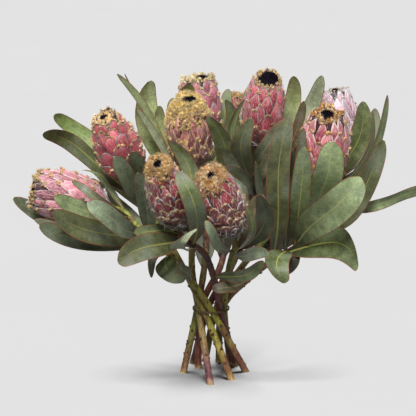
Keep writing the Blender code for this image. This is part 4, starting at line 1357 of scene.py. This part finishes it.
def bract_material():
    """Silky, streaked bracts with a felted band along the tip, a dark line of painted shadow round it and
    white sides.
    """
    look = Nodes("bract", 0.55, sheen=0.25)
    lane = look.stored("lane", True)
    streak = look.add("ShaderNodeTexNoise", {"Vector": lane, "Scale": 0.9, "Detail": 3.0})
    silk = look.noise(900, 2)
    colour = look.shaded(look.stored("tint", True), silk, 0.8, 1.18)
    colour = look.shaded(colour, streak, 0.55, 1.4)
    bloomy = look.between(streak, 0.5, 0.68, 0, 0.4)
    colour = look.mix(bloomy, colour, look.stored("felt", True))
    ragged = look.maths("MULTIPLY_ADD", look.maths("SUBTRACT", silk, 0.5), 2.2, look.stored("edge"))
    ragged = look.maths("MULTIPLY_ADD", look.maths("SUBTRACT", streak, 0.5), 4.0, ragged)
    band = look.maths("DIVIDE", ragged, look.stored("band"))
    upper = look.between(look.stored("up"), 0.55, 0.85)
    felt = look.maths("MULTIPLY", look.between(band, 0.4, 1.1, 1, 0), upper)
    colour = look.mix(felt, colour, look.stored("felt", True))
    hem = look.between(look.maths("DIVIDE", ragged, look.stored("hem")), 0.4, 1.2, 1, 0)
    worn = look.between(look.noise(150, 3), 0.4, 0.6, 0.15, 0.95)
    colour = look.mix(look.maths("MULTIPLY", hem, worn), colour, rgba(WHITE_HAIR))
    # Painted shadow: a dark line round the upper rim of each bract, where the wool along its tip would shade
    # it.
    line = look.between(look.stored("edge"), 0.5, 1.1, 1, 0)
    line = look.maths("MULTIPLY", look.maths("MULTIPLY", line, upper), look.stored("line"))
    colour = look.mix(line, colour, rgba(TIP_SHADOW))
    return look.done(colour, look.maths("ADD", silk, streak), 0.0004, 0.6)


def hair_material(name, roughness, sheen, strength, patchy=0.0):
    """Uneven fibres, with an unevenness of this strength from hair to hair, and this patchy at large."""
    look = Nodes(name, roughness, sheen=sheen)
    colour = look.shaded(look.stored("tint", True), look.noise(1500, 2), 1 - strength, 1 + strength)
    colour = look.shaded(colour, look.noise(95, 3), 1 - patchy, 1 + patchy * 0.8)
    return look.done(colour, look.noise(2500, 2), 0.0001, 0.3)


def add_floor():
    """Plain paper under the bunch."""
    mesh = bpy.data.meshes.new("floor")
    corners = [(x * FLOOR_HALF, y * FLOOR_HALF, 0) for x, y in ((-1, -1), (1, -1), (1, 1), (-1, 1))]
    mesh.from_pydata(corners, [], [(0, 1, 2, 3)])
    look = Nodes("paper", 0.9)
    look.shader.inputs["Specular IOR Level"].default_value = 0.1
    colour = look.shaded(look.add("ShaderNodeRGB", {}), look.noise(3, 2), 0.995, 1.005)
    look.tree.nodes["RGB"].outputs[0].default_value = (*FLOOR_ALBEDO, 1)
    mesh.materials.append(look.done(colour))
    floor = bpy.data.objects.new("floor", mesh)
    bpy.context.scene.collection.objects.link(floor)
    return floor


def add_light(name, strength, angle, toward):
    lamp = bpy.data.lights.new(name, "SUN")
    lamp.energy = strength
    lamp.angle = math.radians(angle)
    obj = bpy.data.objects.new(name, lamp)
    obj.rotation_euler = Vector(toward).to_track_quat("-Z", "Y").to_euler()
    bpy.context.scene.collection.objects.link(obj)
    return obj


def group(name, members):
    """A collection for light linking."""
    made = bpy.data.collections.new(name)
    for obj in members:
        made.objects.link(obj)
    return made


def add_studio(blockers):
    """Soft light from above and in front. In the floor's own lamp only these pieces cast a shadow."""
    floor = add_floor()
    floor.visible_diffuse = False
    spared = group("spared", [floor])
    spared.collection_objects[0].light_linking.link_state = "EXCLUDE"
    for lamp in LAMPS:
        add_light(*lamp).light_linking.receiver_collection = spared
    lamp = add_light(*FLOOR_LAMP)
    lamp.light_linking.receiver_collection = group("lit", [floor])
    lamp.light_linking.blocker_collection = group("blockers", blockers)
    world = bpy.data.worlds.new("studio")
    bpy.context.scene.world = world
    world.use_nodes = True
    world.node_tree.nodes["Background"].inputs["Color"].default_value = (*WORLD_GREY, 1)
    bpy.context.scene.view_settings.view_transform = "Standard"


def add_camera():
    """A long lens in front of the bunch, a little above it."""
    lens = bpy.data.cameras.new("camera")
    lens.sensor_width = SENSOR_WIDTH
    lens.lens = SENSOR_WIDTH * CAMERA_DISTANCE / VIEW_WIDTH
    camera = bpy.data.objects.new("camera", lens)
    back = Vector((0, -math.cos(CAMERA_RISE), math.sin(CAMERA_RISE)))
    target = Vector(CAMERA_TARGET) * MM + SHIFT
    camera.location = target + back * CAMERA_DISTANCE
    camera.rotation_euler = (-back).to_track_quat("-Z", "Y").to_euler()
    bpy.context.scene.collection.objects.link(camera)
    bpy.context.scene.camera = camera


def make_leaves(material):
    """The leaves of each stem as one piece."""
    shapes = {flower: Shape() for flower in STEMS}
    outline = fine_outline()
    rng = np.random.default_rng(LEAF_SEED)
    seen = {}
    for flower, leaf in placed_leaves():
        place = seen[flower] = seen.get(flower, -1) + 1
        tones = TONES[flower].split()
        tone = tones[place] if place < len(tones) else "olive"
        add_leaf(shapes[flower], leaf, tone, WAVES.get((flower, place), 0.0), outline, rng)
    for flower, shape in shapes.items():
        shape.finish(f"leaves_{flower:02d}", material, "leafy_stem", f"stem_{flower:02d}")


# Studio sizes are in metres. A lamp has a strength, an angle that softens its shadows, and a direction.
FLOOR_HALF = 9.0
FLOOR_ALBEDO = (0.15, 0.15, 0.15)
FLOOR_LAMP = ("floor_lamp", 15.48, 20, (0.03, -0.03, -1))
LAMPS = (("key", 3.35, 24, (0.12, 0.75, -1.0)), ("top", 1.25, 60, (0, 0, -1)))
WORLD_GREY = (0.12, 0.12, 0.12)
SHADING_STEMS = (1, 2, 3, 4, 5, 7, 8, 9, 10)  # the stems and heads whose shadows the floor shows
SHADING_HEADS = (4,)
SENSOR_WIDTH = 36  # in millimetres, as the lens is
CAMERA_DISTANCE = 3.0
CAMERA_RISE = math.radians(13)
CAMERA_TARGET = (-4.5, 0, 255.6)  # in the millimetres of the layout
VIEW_WIDTH = 0.624  # across the picture, at the target

tie_low, tie_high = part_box("tie")
SHIFT = Vector(((tie_low.x + tie_high.x) / 2, (tie_low.y + tie_high.y) / 2, 0))

bark = bark_material()
stalks = {flower: make_stem(flower, bark) for flower in STEMS}
make_leaves(leaf_material())
bract_look = bract_material()
wool_look = hair_material("wool", 0.85, 0.35, 0.2, 0.25)
style_look = hair_material("styles", 0.8, 0.0, 0.35)
style_look.node_tree.nodes["Principled BSDF"].inputs["Specular IOR Level"].default_value = 0.15
heads = {flower: make_head(flower, bract_look, wool_look, style_look) for flower in HEADS}
make_tie(hair_material("twine", 0.85, 0.2, 0.25))
add_studio([stalks[flower] for flower in SHADING_STEMS] + [heads[flower] for flower in SHADING_HEADS])
add_camera()
